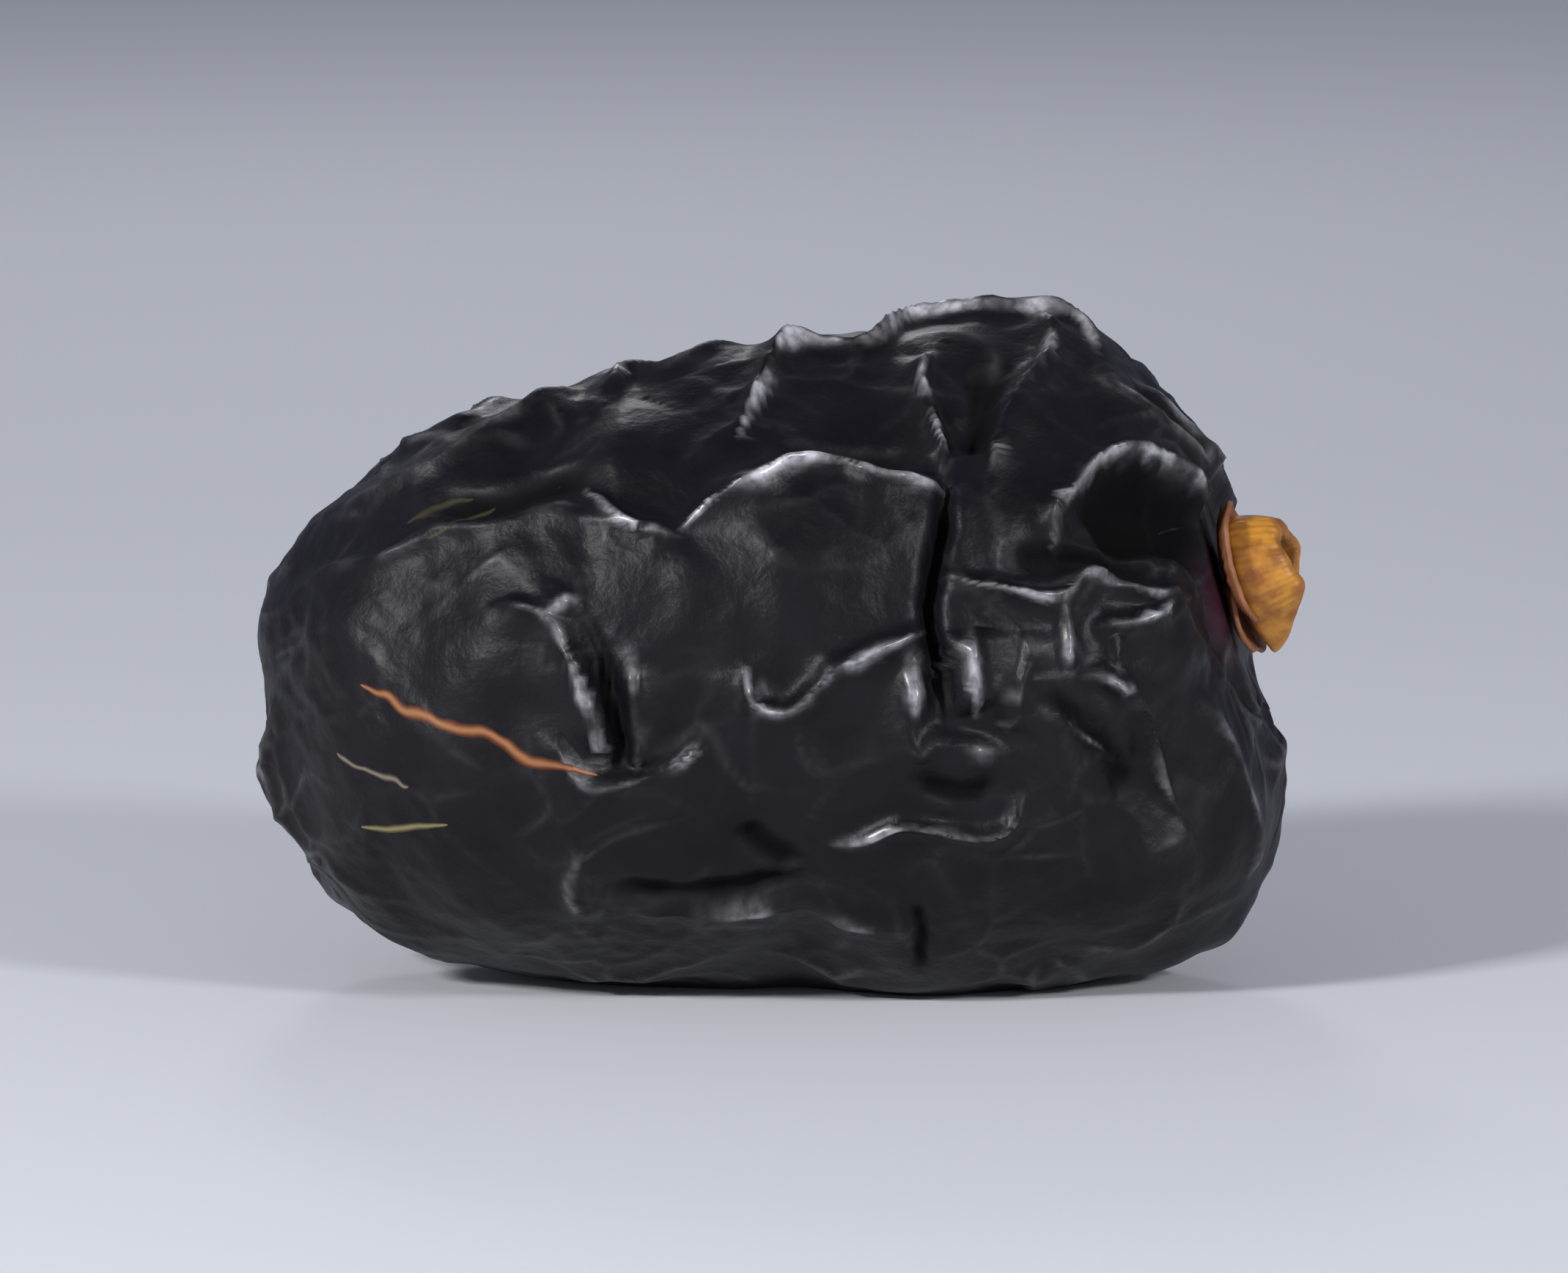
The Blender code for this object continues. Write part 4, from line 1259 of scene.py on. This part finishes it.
        # Paint the highlight on the crests and the shade in the hollows, then the blush
        for shade, share in ((self.crest, painted_sheen_and_coat), (self.painted_shade, painted_shade), (self.blush, blush)):
            colour = add_node(tree, "Mix", {"data_type": "RGBA", "B": linear(shade), "Factor": share,
                                            "A": colour})
        across = add_node(tree, "SeparateXYZ", {0: place}, "X")
        depth = across.node.outputs["Y"]
        up = add_node(tree, "VectorMath", {"operation": "DOT_PRODUCT", 1: Sight().upward(), 0: place})
        picture = add_node(tree, "CombineXYZ", {"X": across, "Y": up})
        front = add_node(tree, "MapRange", {"From Min": -0.002, "From Max": -0.003, "Value": depth})
        noise = add_node(tree, "TexNoise", {"Scale": pattern_scale(self.waver_size), "Detail": 2.0,
                                            "Roughness": 0.55, "Vector": place}, "Color")
        for split in self.splits:
            colour = self.split_colour(tree, split, colour, picture, noise, front)

        gloss = add_node(tree, "MapRange", {"To Min": 0.44, "To Max": 0.26, "Value": crest})
        dull = add_node(tree, "Mix", {"B": 0.95, "Factor": painted_shade, "A": gloss})
        rough = add_node(tree, "Bump", {"Distance": self.grain_depth, "Strength": 0.7, "Height": grain})
        rough = add_node(tree, "Bump", {"Distance": self.grain_depth, "Strength": 0.6, "Height": speck,
                                        "Normal": rough})
        feed(shader, {"Base Color": colour, "Roughness": dull, "Coat Weight": painted_sheen_and_coat, "Coat Roughness": 0.16,
                      "Normal": rough, "IOR": 1.42, "Specular IOR Level": 0.30})


@dataclass(frozen=True)
class PaperyPetal(Finish):
    """Dead petal tissue dried to brown paper: matte, thin and veined, paler at its edge."""

    name: str = "dried_petal_tissue"
    inside: str = "#7A4526"
    edge: str = "#A06A48"
    # The spacing of its fibres in millimetres
    fibre_size: float = 0.45455

    def paint(self, tree: bpy.types.NodeTree, shader: bpy.types.Node) -> None:
        """Fade from brown to a paler edge, mottled, with a fibrous grain.

        Args:
            tree: the material's tree.
            shader: its Principled shader.
        """
        place = add_node(tree, "TexCoord", output="Object")
        reach = add_node(tree, "Attribute", {"attribute_name": "reach"}, "Fac")
        noise = add_node(tree, "TexNoise", {"Scale": pattern_scale(self.fibre_size), "Detail": 4.0,
                                            "Vector": place})
        mottled = add_node(tree, "Math", {"operation": "ADD", 0: reach, 1: noise})
        fade = add_node(tree, "MapRange", {"From Min": 1.0, "From Max": 1.65, "Value": mottled})
        colour = add_node(tree, "Mix", {"data_type": "RGBA", "A": linear(self.inside),
                                        "B": linear(self.edge), "Factor": fade})
        bump = add_node(tree, "Bump", {"Distance": 0.00005, "Strength": 0.6, "Height": noise})
        feed(shader, {"Base Color": colour, "Roughness": 0.62, "Normal": bump})


@dataclass(frozen=True)
class FibrousSepal(Finish):
    """Woody sepal tissue dried golden: satin, fibrous, darker down in the stalk's hollow."""

    name: str = "dried_sepal_fibre"
    gold: str = "#C98A2E"
    amber: str = "#9A5E22"
    # Darker towards the middle of the cup
    cup_middle: str = "#3E2412"
    # The width of its streaks in millimetres
    streak_size: float = 0.6667

    def paint(self, tree: bpy.types.NodeTree, shader: bpy.types.Node) -> None:
        """Streak the gold with amber and darken the hollow.

        Args:
            tree: the material's tree.
            shader: its Principled shader.
        """
        place = add_node(tree, "TexCoord", output="Object")
        depth = add_node(tree, "Attribute", {"attribute_name": "depth"}, "Fac")
        noise = add_node(tree, "TexNoise", {"Scale": pattern_scale(self.streak_size), "Detail": 4.0,
                                            "Vector": place})
        streak = add_node(tree, "MapRange", {"From Min": 0.38, "From Max": 0.62, "Value": noise})
        golden = add_node(tree, "Mix", {"data_type": "RGBA", "A": linear(self.gold),
                                        "B": linear(self.amber), "Factor": streak})
        rim = add_node(tree, "MapRange", {"From Min": 0.55, "From Max": 1.0, "Value": depth})
        colour = add_node(tree, "Mix", {"data_type": "RGBA", "A": linear(self.cup_middle), "Factor": rim,
                                        "B": golden})
        bump = add_node(tree, "Bump", {"Distance": 0.00005, "Strength": 0.5, "Height": noise})
        feed(shader, {"Base Color": colour, "Roughness": 0.45, "Normal": bump})


@dataclass(frozen=True)
class PaleCard(Finish):
    """Matte pale card, the studio's floor and sweep."""

    name: str = "matte_pale_card"
    colour: str = "#E8EBF0"
    # The size of its tooth in millimetres
    tooth_size: float = 1.1111

    def paint(self, tree: bpy.types.NodeTree, shader: bpy.types.Node) -> None:
        """Colour the card with a faint tooth.

        Args:
            tree: the material's tree.
            shader: its Principled shader.
        """
        place = add_node(tree, "TexCoord", output="Object")
        tooth = add_node(tree, "TexNoise", {"Scale": pattern_scale(self.tooth_size), "Detail": 2.0,
                                            "Vector": place})
        bump = add_node(tree, "Bump", {"Distance": 0.00002, "Strength": 0.2, "Height": tooth})
        feed(shader, {"Base Color": linear(self.colour), "Roughness": 0.75, "Normal": bump})


@dataclass(frozen=True)
class SoftBox:
    """A square area light that faces the date."""

    name: str
    place: tuple[float, float, float]
    size: float
    power: float

    def build(self) -> None:
        """Hang the light."""
        light = bpy.data.lights.new(self.name, "AREA")
        light.size = self.size
        light.energy = self.power
        lamp = bpy.data.objects.new(self.name, light)
        lamp.location = self.place
        aim = Vector((0, 0, 0.01)) - Vector(self.place)
        lamp.rotation_euler = aim.to_track_quat("-Z", "Y").to_euler()
        bpy.context.scene.collection.objects.link(lamp)


@dataclass(frozen=True)
class Studio:
    """A pale floor that sweeps up behind, soft light and the camera at the photo's angle."""

    lights: tuple[SoftBox, ...] = (
        SoftBox("key_light", (-0.18, -0.18, 0.14), 0.04, 0.55),
        SoftBox("side_light", (0.20, -0.17, 0.13), 0.04, 0.32),
        SoftBox("back_light", (-0.02, 0.22, 0.13), 0.04, 0.05),
    )
    horizon: str = "#E4E6F6"
    zenith: str = "#80849A"
    sky_strength: float = 0.44
    eye_distance: float = 0.45
    picture_width: float = 0.0485
    look_at: tuple[float, float, float] = (0.00017, 0.0, 0.01068)
    floor_half: float = 1.5
    floor_back: float = 0.9
    sweep_radius: float = 0.5
    sweep_steps: int = 24
    wall_top: float = 2.5

    def floor(self) -> None:
        """Lay the floor: a profile that runs back flat, bends up a quarter turn and rises."""
        turn = np.linspace(0, math.pi / 2, self.sweep_steps)
        y = np.concatenate([[-self.floor_half], self.floor_back + self.sweep_radius * np.sin(turn),
                            [self.floor_back + self.sweep_radius]])
        z = np.concatenate([[0.0], self.sweep_radius * (1 - np.cos(turn)), [self.wall_top]])
        x = np.array([-self.floor_half * 2, self.floor_half * 2])
        grid_x, grid_y = np.meshgrid(x, y, indexing="ij")
        points = np.stack([grid_x, grid_y, np.broadcast_to(z, grid_x.shape)], -1).reshape(-1, 3)
        quads = grid_quads(np.arange(grid_x.size).reshape(grid_x.shape))
        mesh_piece("pale_floor", points / MM, quads, PaleCard())

    def world(self) -> None:
        """Fill the surroundings with soft light that dims from the horizon to the zenith."""
        world = bpy.data.worlds.new("studio_air")
        world.use_nodes = True
        tree = world.node_tree
        place = add_node(tree, "TexCoord", output="Generated")
        level = add_node(tree, "SeparateXYZ", {0: place}, "Z")
        height = add_node(tree, "MapRange", {"From Min": 0.2, "From Max": 0.9, "Value": level})
        sky = add_node(tree, "Mix", {"data_type": "RGBA", "A": linear(self.horizon),
                                     "B": linear(self.zenith), "Factor": height})
        feed(tree.nodes["Background"], {"Color": sky, "Strength": self.sky_strength})
        bpy.context.scene.world = world

    def camera(self) -> None:
        """Set the camera a little above the table, looking along +Y at the near face."""
        lens = bpy.data.cameras.new("camera")
        lens.lens = lens.sensor_width * self.eye_distance / self.picture_width
        lens.clip_start = 0.01
        camera = bpy.data.objects.new("camera", lens)
        onward = Vector(Sight().onward())
        camera.location = Vector(self.look_at) - onward * self.eye_distance
        camera.rotation_euler = onward.to_track_quat("-Z", "Y").to_euler()
        bpy.context.scene.collection.objects.link(camera)
        bpy.context.scene.camera = camera

    def build(self) -> None:
        """Set up the whole studio."""
        self.floor()
        self.world()
        self.camera()
        for light in self.lights:
            light.build()
        bpy.context.scene.view_settings.view_transform = "Standard"


def settle(piece: bpy.types.Object, node: str) -> None:
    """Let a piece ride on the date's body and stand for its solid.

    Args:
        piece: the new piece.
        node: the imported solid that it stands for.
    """
    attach(piece, "root")
    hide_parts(node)
    log.info("%s stands for %s: %d points", piece.name, node, len(piece.data.vertices))


def main() -> None:
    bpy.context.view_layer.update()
    calyx = Calyx()
    Studio().build()
    settle(DateFruit().build(calyx), "date_fruit")
    settle(PetalCollar(calyx).build(), "petal_collar")
    settle(SepalRing(calyx).build(), "sepal_ring")


if __name__ == "__main__":
    logging.basicConfig(level=logging.INFO, format="%(name)s: %(message)s")
    main()
